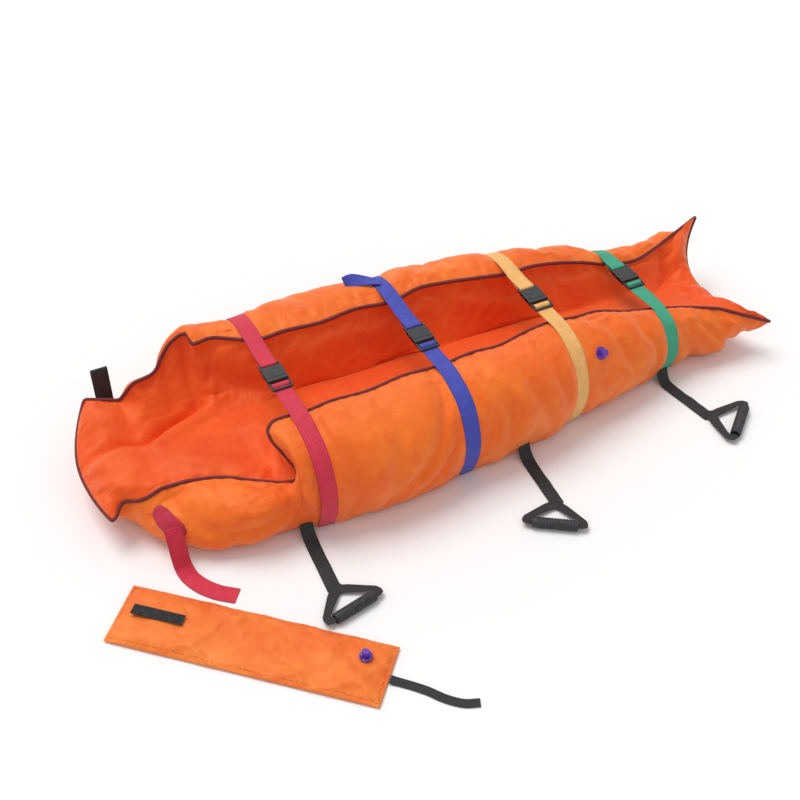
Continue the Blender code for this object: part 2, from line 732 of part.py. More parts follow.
def wall_tree():
    """A search tree of the mattress's outside."""
    points = [Vector(p) for p in OUTSIDE.reshape(-1, 3)]
    return BVHTree.FromPolygons(points, grid_faces(ROWS, COLUMNS, flip=True))


OUTSIDE_TREE = wall_tree()


def wall_reach(x, width, heights, side):
    """How far out the wall stands behind webbing of this width, at these heights."""
    farthest = 0.0
    for place in np.linspace(x - width / 2 - GAP, x + width / 2 + GAP, 9):
        for height in heights:
            hit = OUTSIDE_TREE.ray_cast(Vector((place, side, height)), Vector((0, -side, 0)))[0]
            farthest = max(farthest, abs(hit.y))
    return farthest


# Straps and buckles

def bar_turn(bar_near, bar_far, tail, sign):
    """Path of the webbing's underside round a bar, in the buckle's frame as (y, z)."""
    clear = FRAME_HEIGHT / 2 + GAP
    half = WEB_THICK / 2
    outer, inner = (bar_near, bar_far) if sign > 0 else (bar_far, bar_near)
    corner, slot = inner + sign * WEB_CORNER, inner + sign * WEB_SIDE
    return [(outer - sign * WEB_RUN_IN, -half), (outer - sign * WEB_CLIMB, clear), (corner, clear),
            (slot, clear * 0.65), (slot + sign * WEB_CORNER, 0.0), (slot, -clear * 0.65),
            (corner, -clear), (outer - sign * WEB_RETURN, -clear), (outer - sign * tail, -clear - half)]


def strap_frame(x, mouth):
    """Crest points, buckle place and slope of one strap."""
    left, right = row_of(x - WEB_WIDTH / 2), row_of(x + WEB_WIDTH / 2)
    crest = 2
    near = (OUTSIDE[left, crest] + OUTSIDE[right, crest]) / 2
    far = (OUTSIDE[left, COLUMNS - 1 - crest] + OUTSIDE[right, COLUMNS - 1 - crest]) / 2
    slope = math.atan2(far[2] - near[2], far[1] - near[1])
    height = near[2] + (far[2] - near[2]) * (mouth - near[1]) / (far[1] - near[1])
    place = Vector((x, mouth, height + WEB_LIFT + WEB_THICK / 2))
    return left, right, Matrix.Translation(place) @ Matrix.Rotation(slope, 4, "X")


def wall_ribbon(left, right, side):
    """The stretch of a strap that lies on the wall, from its sewn root up to the crest."""
    cells = [6 + WEB_ROOT_SHARE, 6, 5, 4, 3, 2]
    edges = ([], [])
    normals = []
    for cell in cells:
        j, s = int(cell), cell - int(cell)
        cols = (j, min(j + 1, COLUMNS - 1)) if side < 0 else (COLUMNS - 1 - j, COLUMNS - 2 - j)
        pair = []
        for edge, row in zip(edges, (right, left) if side < 0 else (left, right)):
            point = OUTSIDE[row, cols[0]] * (1 - s) + OUTSIDE[row, cols[1]] * s
            normal = OUTER_NORMALS[row, cols[0]] * (1 - s) + OUTER_NORMALS[row, cols[1]] * s
            normal /= np.linalg.norm(normal)
            edge.append(point + normal * WEB_LIFT)
            pair.append(normal)
        normals.append(tuple(pair))
    return edges[0], edges[1], normals


def strap_web(name, frame, left, right, side):
    """One half of a strap: sewn to the wall, over the crest and round its buckle's bar."""
    edge_a, edge_b, normals = wall_ribbon(left, right, side)
    if side < 0:
        path = bar_turn(-PLUG_BLOCK - PLUG_FRAME, -PLUG_BLOCK - PLUG_FRAME + BAR, WEB_TAIL, 1)
    else:
        end = SOCKET_DEPTH + BAR_SLOT + BAR
        path = bar_turn(end - BAR, end, WEB_TAIL, -1)
    points = [Vector((0.0, y, z)) for y, z in path]
    for k, point in enumerate(points):
        way = points[min(k + 1, len(points) - 1)] - points[max(k - 1, 0)]
        normal = Vector((0.0, -way.z, way.y)).normalized() * (1 if side < 0 else -1)
        reach = Vector((side * WEB_WIDTH / 2, 0, 0))
        edge_a.append(np.array(frame @ (point - reach)))
        edge_b.append(np.array(frame @ (point + reach)))
        normals.append(np.array(frame.to_3x3() @ normal))
    return add_object(name, ribbon_mesh(name, edge_a, edge_b, normals, WEB_THICK), name.split("_")[0] + "_web", 50)


def socket_mesh():
    """The socket: a pocket open at its mouth, side windows for the arms, a bar for the webbing."""
    half, tall = BUCKLE_WIDTH / 2, SOCKET_HEIGHT / 2
    body = box("socket_body", (-half, 0, -tall), (half, SOCKET_DEPTH, tall), CUTTERS)
    pocket = box("pocket", (-half + SOCKET_WALL * 2, -0.01, -tall + SOCKET_WALL),
                 (half - SOCKET_WALL * 2, POCKET_DEPTH, tall - SOCKET_WALL), CUTTERS)
    windows = box("windows", (-half - 0.01, -0.01, -ARM_WINDOW / 2), (half + 0.01, POCKET_DEPTH - 0.003, ARM_WINDOW / 2),
                  CUTTERS)
    end = SOCKET_DEPTH + BAR_SLOT + BAR
    frame = box("bar_frame", (-half, SOCKET_DEPTH - 0.004, -FRAME_HEIGHT / 2), (half, end, FRAME_HEIGHT / 2), CUTTERS)
    slot = box("bar_slot", (-half + FRAME_RAIL, SOCKET_DEPTH, -0.01), (half - FRAME_RAIL, end - BAR, 0.01), CUTTERS)
    return made("socket", body, [(frame, "UNION"), (pocket, "DIFFERENCE"), (windows, "DIFFERENCE"),
                                 (slot, "DIFFERENCE")], BUCKLE_EDGE)


def plug_mesh():
    """The plug: a block at the mouth, a centre tongue and a frame with two bars."""
    half = BUCKLE_WIDTH / 2
    block = box("plug_block", (-half, -PLUG_BLOCK, -SOCKET_HEIGHT / 2), (half, -GAP, SOCKET_HEIGHT / 2), CUTTERS)
    tongue = box("tongue", (-TONGUE_WIDTH / 2, -0.004, -TONGUE_HEIGHT / 2),
                 (TONGUE_WIDTH / 2, TONGUE_LENGTH, TONGUE_HEIGHT / 2), CUTTERS)
    back = -PLUG_BLOCK - PLUG_FRAME
    frame = box("plug_frame", (-half, back, -FRAME_HEIGHT / 2), (half, -PLUG_BLOCK + 0.004, FRAME_HEIGHT / 2), CUTTERS)
    middle = (back + BAR + BAR_SLOT, back + 2 * BAR + BAR_SLOT)
    rear_slot = box("rear_slot", (-half + FRAME_RAIL, back + BAR, -0.01), (half - FRAME_RAIL, middle[0], 0.01), CUTTERS)
    front_slot = box("front_slot", (-half + FRAME_RAIL, middle[1], -0.01), (half - FRAME_RAIL, -PLUG_BLOCK - 0.002, 0.01),
                     CUTTERS)
    return made("plug", block, [(tongue, "UNION"), (frame, "UNION"), (rear_slot, "DIFFERENCE"),
                                (front_slot, "DIFFERENCE")], BUCKLE_EDGE)


def arm_mesh():
    """A release arm for the +x side: a spring beam with a thumb pad that stands out of the window."""
    edge = BUCKLE_WIDTH / 2
    outline = [(ARM_PIVOT - 0.003, GAP), (ARM_PIVOT + 0.003, GAP), (ARM_PIVOT + 0.0042, 0.012), (edge + 0.0022, 0.0165),
               (edge + 0.0026, 0.0265), (edge - 0.003, 0.0335), (ARM_PIVOT + 0.005, 0.0345), (ARM_PIVOT, 0.0300),
               (ARM_PIVOT - 0.002, 0.0150)]
    return flat_mesh("arm", [outline], ARM_HEIGHT)


def make_straps():
    """Four straps, each with two lengths of webbing, a socket, a plug and two release arms."""
    socket, plug, arm = socket_mesh(), plug_mesh(), arm_mesh()
    mirrored = arm.copy()
    mirrored.transform(Matrix.Scale(-1, 4, Vector((1, 0, 0))))
    mirrored.flip_normals()
    for name, x, mouth, _ in STRAPS:
        left, right, frame = strap_frame(x, mouth)
        strap_web(name + "_near_web", frame, left, right, -1)
        strap_web(name + "_far_web", frame, left, right, 1)
        plug_axis = empty(name + "_plug_axis", frame.translation)
        for part, mesh in (("_socket", socket), ("_plug", plug), ("_right_arm", arm), ("_left_arm", mirrored)):
            placed = mesh.copy()
            placed.transform(frame)
            obj = add_object(name + part, placed, "buckle")
            if part == "_plug":
                hang(obj, plug_axis)
            elif part != "_socket":
                turn = 1 if part == "_right_arm" else -1
                pivot = frame @ Vector((turn * ARM_PIVOT, GAP, 0))
                hang(obj, empty(name + part + "_axis", pivot - frame.translation, plug_axis))


# Carry handles

def handle_frames(root_x, heading, turn, side, folded):
    """Root frame, heading, hinge frame and loop frame of a handle; local +Y leads off the mattress."""
    out = wall_reach(root_x, HANDLE_WIDTH, (HANDLE_ROOT_HEIGHT,), side) + GAP
    root = Matrix.Translation((root_x, side * out, 0.0)) @ Matrix.Rotation(math.pi if side < 0 else 0.0, 4, "Z")
    level = Matrix.Translation((0, HANDLE_BEND, 0)) @ Matrix.Rotation(math.radians(heading), 4, "Z")
    stack = HANDLE_THICK + GAP / 2 if folded else 2 * (HANDLE_THICK + GAP)
    hinge = root @ level @ Matrix.Translation((0, HANDLE_REACH - HANDLE_BEND, stack))
    under = HANDLE_THICK / 2 + (GAP / 2 if folded else GAP)
    rest = GRIP_RADIUS + GAP - stack
    if folded:
        tilt = math.pi - math.asin((rest + HANDLE_THICK - under) / LOOP_DEPTH)
    else:
        tilt = math.asin((rest + under) / LOOP_DEPTH)
    swing = Matrix.Rotation(math.radians(turn), 4, "Z") @ Matrix.Rotation(tilt, 4, "X")
    return root, level, hinge, hinge @ swing @ Matrix.Translation((0, 0, -under))


def loop_outline():
    """Outer and inner outlines of the webbing loop, from the hinge at y = 0 to the grip."""
    bar_y, half_bar, grip = LOOP_DEPTH, LOOP_BAR / 2, GRIP_LENGTH / 2
    start, neck = GAP, HANDLE_WIDTH / 2
    corner = grip + LOOP_ARM
    outer = [(neck, start), (neck, start + 0.014), (corner - 0.003, bar_y - 0.016), (corner, bar_y),
             (corner - 0.008, bar_y + half_bar)]
    inner = [(0.006, 0.034), (grip + 0.0012, bar_y - GRIP_RADIUS - 0.003), (grip + 0.002, bar_y - half_bar)]
    both = []
    for half in (outer, inner):
        both.append(half + [(-x, y) for x, y in reversed(half)])
    return both


def grip_mesh():
    """A moulded tube with a soft swell and a bore for the webbing."""
    half = GRIP_LENGTH / 2 - GAP
    bore = (math.hypot(LOOP_BAR / 2, HANDLE_THICK / 2) + GRIP_PLAY) / math.cos(math.pi / GRIP_STEPS)
    profile = [(GRIP_RADIUS - 0.0025, half), (GRIP_RADIUS, half - 0.004), (GRIP_RADIUS - 0.0008, half * 0.35),
               (GRIP_RADIUS - 0.0008, -half * 0.35), (GRIP_RADIUS, -half + 0.004), (GRIP_RADIUS - 0.0025, -half),
               (bore, -half), (bore, half)]
    return lathe_mesh("grip", profile, GRIP_STEPS)


def make_handles():
    """Six handles, each a sewn strap, a webbing loop and a grip."""
    loop, grip = flat_mesh("loop", loop_outline(), HANDLE_THICK), grip_mesh()
    lie_along_x = Matrix.Rotation(math.pi / 2, 4, "Y")
    for name, root_x, heading, turn, side, folded in HANDLES:
        root, level, hinge, swing = handle_frames(root_x, heading, turn, side, folded)
        height, end = HANDLE_ROOT_HEIGHT, HANDLE_REACH - HANDLE_BEND + (-GAP if folded else HANDLE_LAP)
        route = [Vector((0, 0, height)), Vector((0, 0.004, height * 0.72)), Vector((0, 0.014, height * 0.34)),
                 Vector((0, HANDLE_BEND, height * 0.10))]
        route += [level @ Vector((0, y, 0)) for y in (HANDLE_DROP, end * 0.6, end)]
        strap = path_ribbon(name + "_handle_strap", route, HANDLE_WIDTH, HANDLE_THICK)
        strap.transform(root)
        strap_obj = add_object(name + "_handle_strap", strap, "black_web", 50)
        root_axis = empty(name + "_handle_axis", root @ Vector((0, 0, height)))
        hang(strap_obj, root_axis)
        loop_axis = empty(name + "_loop_axis", hinge.translation - holder_place(root_axis), root_axis)
        loop_copy = loop.copy()
        loop_copy.transform(swing)
        hang(add_object(name + "_handle_loop", loop_copy, "black_web"), loop_axis)
        grip_copy = grip.copy()
        grip_frame = swing @ Matrix.Translation((0, LOOP_DEPTH, 0)) @ lie_along_x
        grip_copy.transform(grip_frame)
        grip_axis = empty(name + "_grip_axis", grip_frame.translation - holder_place(loop_axis), loop_axis)
        hang(add_object(name + "_handle_grip", grip_copy, "grip", 40), grip_axis)


# Valves

def valve_meshes(scale):
    """Nozzle, cap and filter about local +Z, with the fabric's outside at z = 0."""
    low = GAP
    nozzle = [(VALVE_STEM, VALVE_HEIGHT), (VALVE_STEM, low + VALVE_FLANGE_THICK * 1.6),
              (VALVE_FLANGE, low + VALVE_FLANGE_THICK), (VALVE_FLANGE, low), (VALVE_STEM, low),
              (VALVE_STEM, -VALVE_ROOT), (VALVE_BORE, -VALVE_ROOT), (VALVE_BORE, VALVE_HEIGHT)]
    inside = VALVE_HEIGHT + GAP
    skirt = inside + CAP_TOP - CAP_HEIGHT
    cap = [(0.0, inside + CAP_TOP), (CAP_RADIUS - 0.0015, inside + CAP_TOP), (CAP_RADIUS, inside + CAP_TOP - 0.0015),
           (CAP_RADIUS, skirt), (VALVE_STEM + GAP, skirt), (VALVE_STEM + GAP, inside), (0.0, inside)]
    top = -VALVE_ROOT - GAP
    sponge = [(0.0, top), (VALVE_STEM, top), (VALVE_STEM, top - FILTER_DEPTH), (0.0, top - FILTER_DEPTH)]
    meshes = [lathe_mesh("nozzle", nozzle, 20), lathe_mesh("cap", cap, 20), lathe_mesh("filter", sponge, 16)]
    for mesh in meshes:
        mesh.transform(Matrix.Scale(scale, 4))
    return meshes


def drill(obj, frame, radius, low, high):
    """Bore a straight round hole."""
    work = bmesh.new()
    bmesh.ops.create_cone(work, cap_ends=True, segments=20, radius1=radius, radius2=radius, depth=high - low)
    bmesh.ops.translate(work, vec=(0, 0, (high + low) / 2), verts=work.verts)
    mesh = bpy.data.meshes.new(obj.name + "_bore")
    work.to_mesh(mesh)
    work.free()
    mesh.transform(frame)
    cutter = bpy.data.objects.new(obj.name + "_bore", mesh)
    CUTTERS.objects.link(cutter)
    boolean(obj, cutter, "DIFFERENCE")


def valve_tether(scale):
    """A strip that keeps the cap on the nozzle: up beside the stem and over to the cap's edge."""
    stand = VALVE_STEM + 0.0065
    low = GAP + VALVE_FLANGE_THICK * 1.6 + 0.0002
    rise = VALVE_HEIGHT + GAP + CAP_TOP - CAP_HEIGHT
    path = [(VALVE_STEM + GAP * 2, low), (stand, low), (stand + 0.0035, low + 0.003), (stand + 0.004, rise),
            (stand + 0.002, rise + 0.005), (CAP_RADIUS + GAP * 2, rise + 0.006)]
    points = [Vector((x, 0.0, z)) * scale for x, z in path]
    return path_ribbon("tether", points, TETHER_WIDTH * scale, TETHER_THICK * scale, across=(0, -1, 0))


def make_valve(prefix, frame, scale, walls):
    """A valve through the fabric: nozzle, cap, tether and filter, with holes in the walls."""
    nozzle, cap, sponge = valve_meshes(scale)
    tether = valve_tether(scale)
    for mesh in (nozzle, cap, sponge, tether):
        mesh.transform(frame)
    add_object(prefix + "valve_nozzle", nozzle, "valve", 40)
    add_object(prefix + "valve_filter", sponge, "filter", 40)
    add_object(prefix + "valve_tether", tether, "valve", 40)
    hang(add_object(prefix + "valve_cap", cap, "valve", 40), empty(prefix + "valve_cap_axis", frame.translation))
    for obj, radius, low in walls:
        drill(obj, frame, radius * scale, low * scale, 0.006)


def seat(mesh, point, normal, radius):
    """A frame with local +Z along a normal, lifted so that a disc of this radius rests on the mesh."""
    frame = Matrix.Translation(Vector(point)) @ Vector(normal).to_track_quat("Z", "Y").to_matrix().to_4x4()
    tree = BVHTree.FromPolygons([v.co.copy() for v in mesh.vertices], [tuple(p.vertices) for p in mesh.polygons])
    back = frame.inverted()
    highest = 0.0
    for share in (0.0, 0.35, 0.7, 1.0):
        for turn in range(36):
            angle = math.tau * turn / 36
            start = Vector((radius * share * math.cos(angle), radius * share * math.sin(angle), 0.05))
            hit = tree.ray_cast(frame @ start, frame.to_3x3() @ Vector((0, 0, -1)))[0]
            if hit:
                highest = max(highest, (back @ hit).z)
    return frame @ Matrix.Translation((0, 0, highest + GAP / 2))


# Splint

def splint_grids():
    """Top and bottom of the splint's outside: flat below, crowned above, meeting at its edge."""
    long_steps, wide_steps = 14, 6
    top, bottom = [], []
    for i in range(long_steps + 1):
        upper, lower = [], []
        for j in range(wide_steps + 1):
            u, v = 2 * i / long_steps - 1, 2 * j / wide_steps - 1
            x = SPLINT_LENGTH / 2 * math.copysign(abs(u) ** 0.8, u)
            y = SPLINT_WIDTH / 2 * math.copysign(abs(v) ** 0.75, v)
            swell = (1 - abs(u) ** 8) * (1 - abs(v) ** 5)
            on_edge = i in (0, long_steps) or j in (0, wide_steps)
            upper.append((x, y, SPLINT_EDGE + SPLINT_CROWN * swell))
            lower.append((x * 1.0, y * 1.0, SPLINT_EDGE if on_edge else 0.0))
        top.append(upper)
        bottom.append(lower)
    return np.array(bottom), np.array(top)


def make_splint():
    """Cover, bead fill, hook patch, valve and strap of the splint."""
    frame = Matrix.Translation(SPLINT_CENTRE) @ Matrix.Rotation(math.radians(SPLINT_TURN), 4, "Z")
    bottom, top = splint_grids()
    verts, faces, _ = closed_pair(bottom, top)
    normals = point_normals(verts, faces)
    count = len(verts)
    inside = [tuple(k + count for k in face[::-1]) for face in faces]
    cover = mesh_from("splint_cover", np.concatenate([verts, verts - normals * SHEET]), faces + inside)
    fill = mesh_from("splint_fill", verts - normals * (SHEET + FILL_GAP), faces)
    for mesh in (cover, fill):
        mesh.transform(frame)
    axis = empty("splint_axis", SPLINT_CENTRE)
    flange_up = Vector((0, 0, 1))
    cover_obj = add_object("splint_cover", cover, "fabric", 50)
    fill_obj = add_object("splint_fill", fill, "beads", 50)
    patch_seat = seat(cover, frame @ Vector((*PATCH_PLACE, SPLINT_CROWN)), flange_up, PATCH_SIZE[0] / 2)
    height = patch_seat.translation.z
    patch = box("hook_patch", (PATCH_PLACE[0] - PATCH_SIZE[0] / 2, PATCH_PLACE[1] - PATCH_SIZE[1] / 2, height + GAP),
                (PATCH_PLACE[0] + PATCH_SIZE[0] / 2, PATCH_PLACE[1] + PATCH_SIZE[1] / 2, height + GAP + PATCH_SIZE[2]),
                CUTTERS)
    patch_mesh = evaluated_mesh(patch, "splint_hook_patch")
    bpy.data.objects.remove(patch, do_unlink=True)
    patch_mesh.transform(frame)
    patch_obj = add_object("splint_hook_patch", patch_mesh, "hook")
    place = seat(cover, frame @ Vector((*SPLINT_VALVE_PLACE, SPLINT_CROWN)), flange_up, VALVE_FLANGE * SPLINT_VALVE_SCALE)
    make_valve("splint_", place, SPLINT_VALVE_SCALE,
               [(cover_obj, VALVE_HOLE, -0.006), (fill_obj, VALVE_HOLE + GAP, -VALVE_ROOT - FILTER_DEPTH - 0.001)])
    root = frame @ Vector((SPLINT_LENGTH / 2 + GAP, 0, SPLINT_EDGE - WEB_THICK / 2))
    route = [root, frame @ Vector((SPLINT_LENGTH / 2 + SPLINT_STRAP_WIDTH / 2, 0, SPLINT_EDGE / 2)), *SPLINT_STRAP_ROUTE]
    strap_obj = add_object("splint_strap", path_ribbon("splint_strap", route, SPLINT_STRAP_WIDTH, WEB_THICK),
                           "black_web", 50)
    hang(strap_obj, empty("splint_strap_axis", root + flange_up * WEB_THICK / 2))
    for obj in (cover_obj, fill_obj, patch_obj):
        hang(obj, axis)


# Loose webbing on the mattress

def make_loose_webbing():
    """The red strap that hangs from the head end, and the black drag tab at the far corner."""
    x, top = HEAD_STRAP_ROOT
    heights = [top * share for share in (1.0, 0.8, 0.6, 0.4)]
    stand = [-wall_reach(x, WEB_WIDTH, np.linspace(top + GAP, low, 9), -1) - 2 * GAP for low in heights[1:] + heights[-1:]]
    route = [(x, y, z) for y, z in zip(stand, heights)] + [(x + a, y, z) for a, y, z in HEAD_STRAP_ROUTE]
    strap = path_ribbon("head_strap", route, WEB_WIDTH, WEB_THICK)
    hang(add_object("head_strap", strap, "red_web", 50), empty("head_strap_axis", route[0]))
    sewn = np.linspace(TAB_LOW, TAB_LOW + TAB_SEWN, 5)
    x = HEAD_CAP - TAB_INSET
    y = wall_reach(x, WEB_WIDTH, sewn, 1) + GAP + TAB_BEND
    turn = [(TAB_BEND * math.cos(a), TAB_BEND * math.sin(a)) for a in np.linspace(0, math.pi, 7)]
    route = [(x, y + TAB_BEND, TAB_LOW)] + [(x, y + c, TAB_TOP - TAB_BEND + s) for c, s in turn]
    route.append((x, y - TAB_BEND, TAB_LOW))
    tab = path_ribbon("drag_tab", route, WEB_WIDTH, WEB_THICK, across=(1, 0, 0))
    hang(add_object("drag_tab", tab, "black_web", 50), empty("drag_tab_axis", (x, y, TAB_LOW)))


def main():
    """Make the whole stretcher."""
    base, _, fill = make_mattress()
    make_straps()
    make_handles()
    place = seat(base.data, *wall_point(VALVE_X, VALVE_CELL), VALVE_FLANGE)
    make_valve("mattress_", place, 1.0,
               [(base, VALVE_HOLE, -0.006), (fill, VALVE_HOLE + GAP, -VALVE_ROOT - FILTER_DEPTH - 0.001)])
    make_splint()
    make_loose_webbing()


main()
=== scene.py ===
"""Looks of a vacuum mattress stretcher and its small vacuum splint, laid out as an add-on.

It is run as a script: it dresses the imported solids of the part, in metres, in the part's own frame."""

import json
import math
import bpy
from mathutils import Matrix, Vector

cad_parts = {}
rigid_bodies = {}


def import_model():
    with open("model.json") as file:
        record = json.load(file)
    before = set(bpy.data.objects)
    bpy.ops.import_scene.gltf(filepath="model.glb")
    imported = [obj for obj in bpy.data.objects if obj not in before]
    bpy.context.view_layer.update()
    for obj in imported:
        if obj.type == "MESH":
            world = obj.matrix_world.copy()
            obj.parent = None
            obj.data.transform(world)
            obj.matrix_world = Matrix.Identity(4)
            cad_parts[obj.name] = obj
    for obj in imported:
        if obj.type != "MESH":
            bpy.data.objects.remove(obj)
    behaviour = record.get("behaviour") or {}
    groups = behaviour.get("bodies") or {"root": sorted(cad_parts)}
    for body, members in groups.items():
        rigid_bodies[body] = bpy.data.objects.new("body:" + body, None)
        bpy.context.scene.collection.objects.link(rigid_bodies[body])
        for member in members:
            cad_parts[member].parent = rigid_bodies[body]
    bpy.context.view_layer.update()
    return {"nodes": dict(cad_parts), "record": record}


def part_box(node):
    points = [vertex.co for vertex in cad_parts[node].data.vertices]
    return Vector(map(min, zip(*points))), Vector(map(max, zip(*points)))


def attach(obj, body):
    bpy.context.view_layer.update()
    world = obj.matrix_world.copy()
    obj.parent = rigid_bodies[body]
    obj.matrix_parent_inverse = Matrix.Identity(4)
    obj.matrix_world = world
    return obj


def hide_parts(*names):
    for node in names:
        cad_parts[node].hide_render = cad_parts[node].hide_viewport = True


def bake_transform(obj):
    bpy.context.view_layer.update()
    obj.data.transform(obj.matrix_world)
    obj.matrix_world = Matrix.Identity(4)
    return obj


bl_info = {
    "name": "Vacuum mattress stretcher",
    "version": (1, 0, 0),
    "blender": (4, 5, 0),
    "location": "3D View > Sidebar > Stretcher",
    "description": "Fabric, webbing, buckles, valves and stage of a vacuum mattress stretcher",
    "category": "Object",
}

import bmesh
import bpy
import numpy as np
from mathutils import Matrix, Vector
from mathutils.bvhtree import BVHTree

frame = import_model()
NODES = frame["nodes"]

# The camera that fits the photograph, which is 800 pixels wide
PHOTO_PIXELS = 800
FOCAL_PIXELS = 1270.557
SENSOR_MM = 36.0
CAMERA_PLACE = (-1.305469, -2.439769, 2.589891)
CAMERA_RIGHT = (0.899508, -0.436905, 0.0)
CAMERA_UP = (0.299456, 0.616526, 0.728164)
CAMERA_BACK = (-0.318138, -0.654989, 0.685403)
LIGHT_FROM = (-0.6, 1.3, 3.0)        # the soft light stands overhead, a little behind the mattress
FLOOR_SIZE = 60.0
FLOOR_LEVEL = -0.0005

# Straps over the mattress: name, place along it, the buckle's mouth across it
STRAPS = (("red", -0.499, -0.020), ("blue", -0.072, -0.045), ("yellow", 0.303, -0.030),
          ("green", 0.662, 0.020))
WEB_WIDTH = 0.048
WEB_THICK = 0.0018
WEB_LIFT = 0.0006              # webbing off the fabric that it lies on
WEB_TURN = 0.010               # from the crest, where a near web's start is reckoned; nothing uses that start
TAIL_ROUTE = ((-0.070, 0.236, 0.2935), (-0.094, 0.246, 0.2965), (-0.120, 0.258, 0.2990),
              (-0.148, 0.266, 0.3010), (-0.172, 0.266, 0.2960))
TAIL_POINTS = 40
TAIL_TWIST = ((0.25, 0.95, -0.25), (0.62, 0.35, 0.70))     # its width direction at its start and at its end
TAIL_WIDTH = 0.9               # share of the webbing's width, as its end is cut narrower
PIPING_RADIUS = 0.0052         # thicker than the real 3.5 mm, so that it shows as in the photograph
PIPING_STEP = 0.006
PIPING_SIDES = 10
WALL_CELL = 20                 # points on the outline for each step of a section
WALL_FOOT = 6.5                # steps from the piping to where the webbing is sewn on
WALL_SKIP = 6                  # every so many points of that outline lead the webbing
STRAP_POINTS = 190
THREAD_PITCH = 0.0060          # sewing along the seams
THREAD_RUN = 0.0042
THREAD_HALF = 0.0006

# Mattress outline on one side: station x, widest y, crest y and z, piping y and z, the piping's lean along x,
# bulge of the wall
NEAR_SIDE = (
    (-0.880, 0.252, 0.194, 0.128, 0.140, 0.152, 0.000, 1.0),
    (-0.800, 0.300, 0.206, 0.150, 0.150, 0.154, 0.000, 1.0),
    (-0.720, 0.322, 0.238, 0.160, 0.176, 0.152, 0.002, 1.0),
    (-0.650, 0.330, 0.272, 0.162, 0.226, 0.150, 0.010, 1.0),
    (-0.615, 0.332, 0.282, 0.166, 0.264, 0.152, 0.040, 1.0),
    (-0.600, 0.334, 0.284, 0.172, 0.270, 0.160, 0.052, 1.0),
    (-0.590, 0.336, 0.280, 0.196, 0.252, 0.180, 0.044, 1.0),
    (-0.580, 0.338, 0.268, 0.226, 0.225, 0.216, 0.014, 1.0),
    (-0.570, 0.340, 0.256, 0.256, 0.200, 0.250, -0.016, 1.0),
    (-0.560, 0.342, 0.246, 0.276, 0.180, 0.271, -0.030, 1.0),
    (-0.548, 0.345, 0.238, 0.286, 0.163, 0.279, -0.024, 1.0),
    (-0.530, 0.352, 0.232, 0.288, 0.159, 0.280, -0.008, 1.0),
    (-0.499, 0.360, 0.226, 0.289, 0.161, 0.277, 0.000, 1.0),
    (-0.400, 0.370, 0.228, 0.292, 0.156, 0.280, 0.000, 1.0),
    (-0.300, 0.375, 0.228, 0.291, 0.160, 0.277, 0.000, 1.0),
    (-0.180, 0.370, 0.224, 0.292, 0.150, 0.280, 0.000, 1.0),
    (-0.072, 0.354, 0.220, 0.289, 0.153, 0.276, 0.000, 1.0),
    (0.040, 0.352, 0.214, 0.292, 0.146, 0.278, 0.000, 1.0),
    (0.100, 0.345, 0.208, 0.290, 0.150, 0.275, 0.000, 1.0),
    (0.220, 0.330, 0.196, 0.291, 0.132, 0.278, 0.000, 1.0),
    (0.303, 0.304, 0.182, 0.287, 0.122, 0.273, 0.000, 1.0),
    (0.380, 0.292, 0.176, 0.2745, 0.125, 0.263, 0.000, 1.0),
    (0.450, 0.282, 0.172, 0.262, 0.116, 0.251, 0.000, 1.0),
    (0.560, 0.262, 0.166, 0.235, 0.124, 0.219, 0.000, 1.0),
    (0.662, 0.236, 0.160, 0.206, 0.122, 0.191, 0.000, 1.0),
    (0.760, 0.224, 0.174, 0.188, 0.146, 0.180, 0.000, 1.0),
    (0.860, 0.234, 0.208, 0.148, 0.178, 0.164, 0.000, 0.9),
)
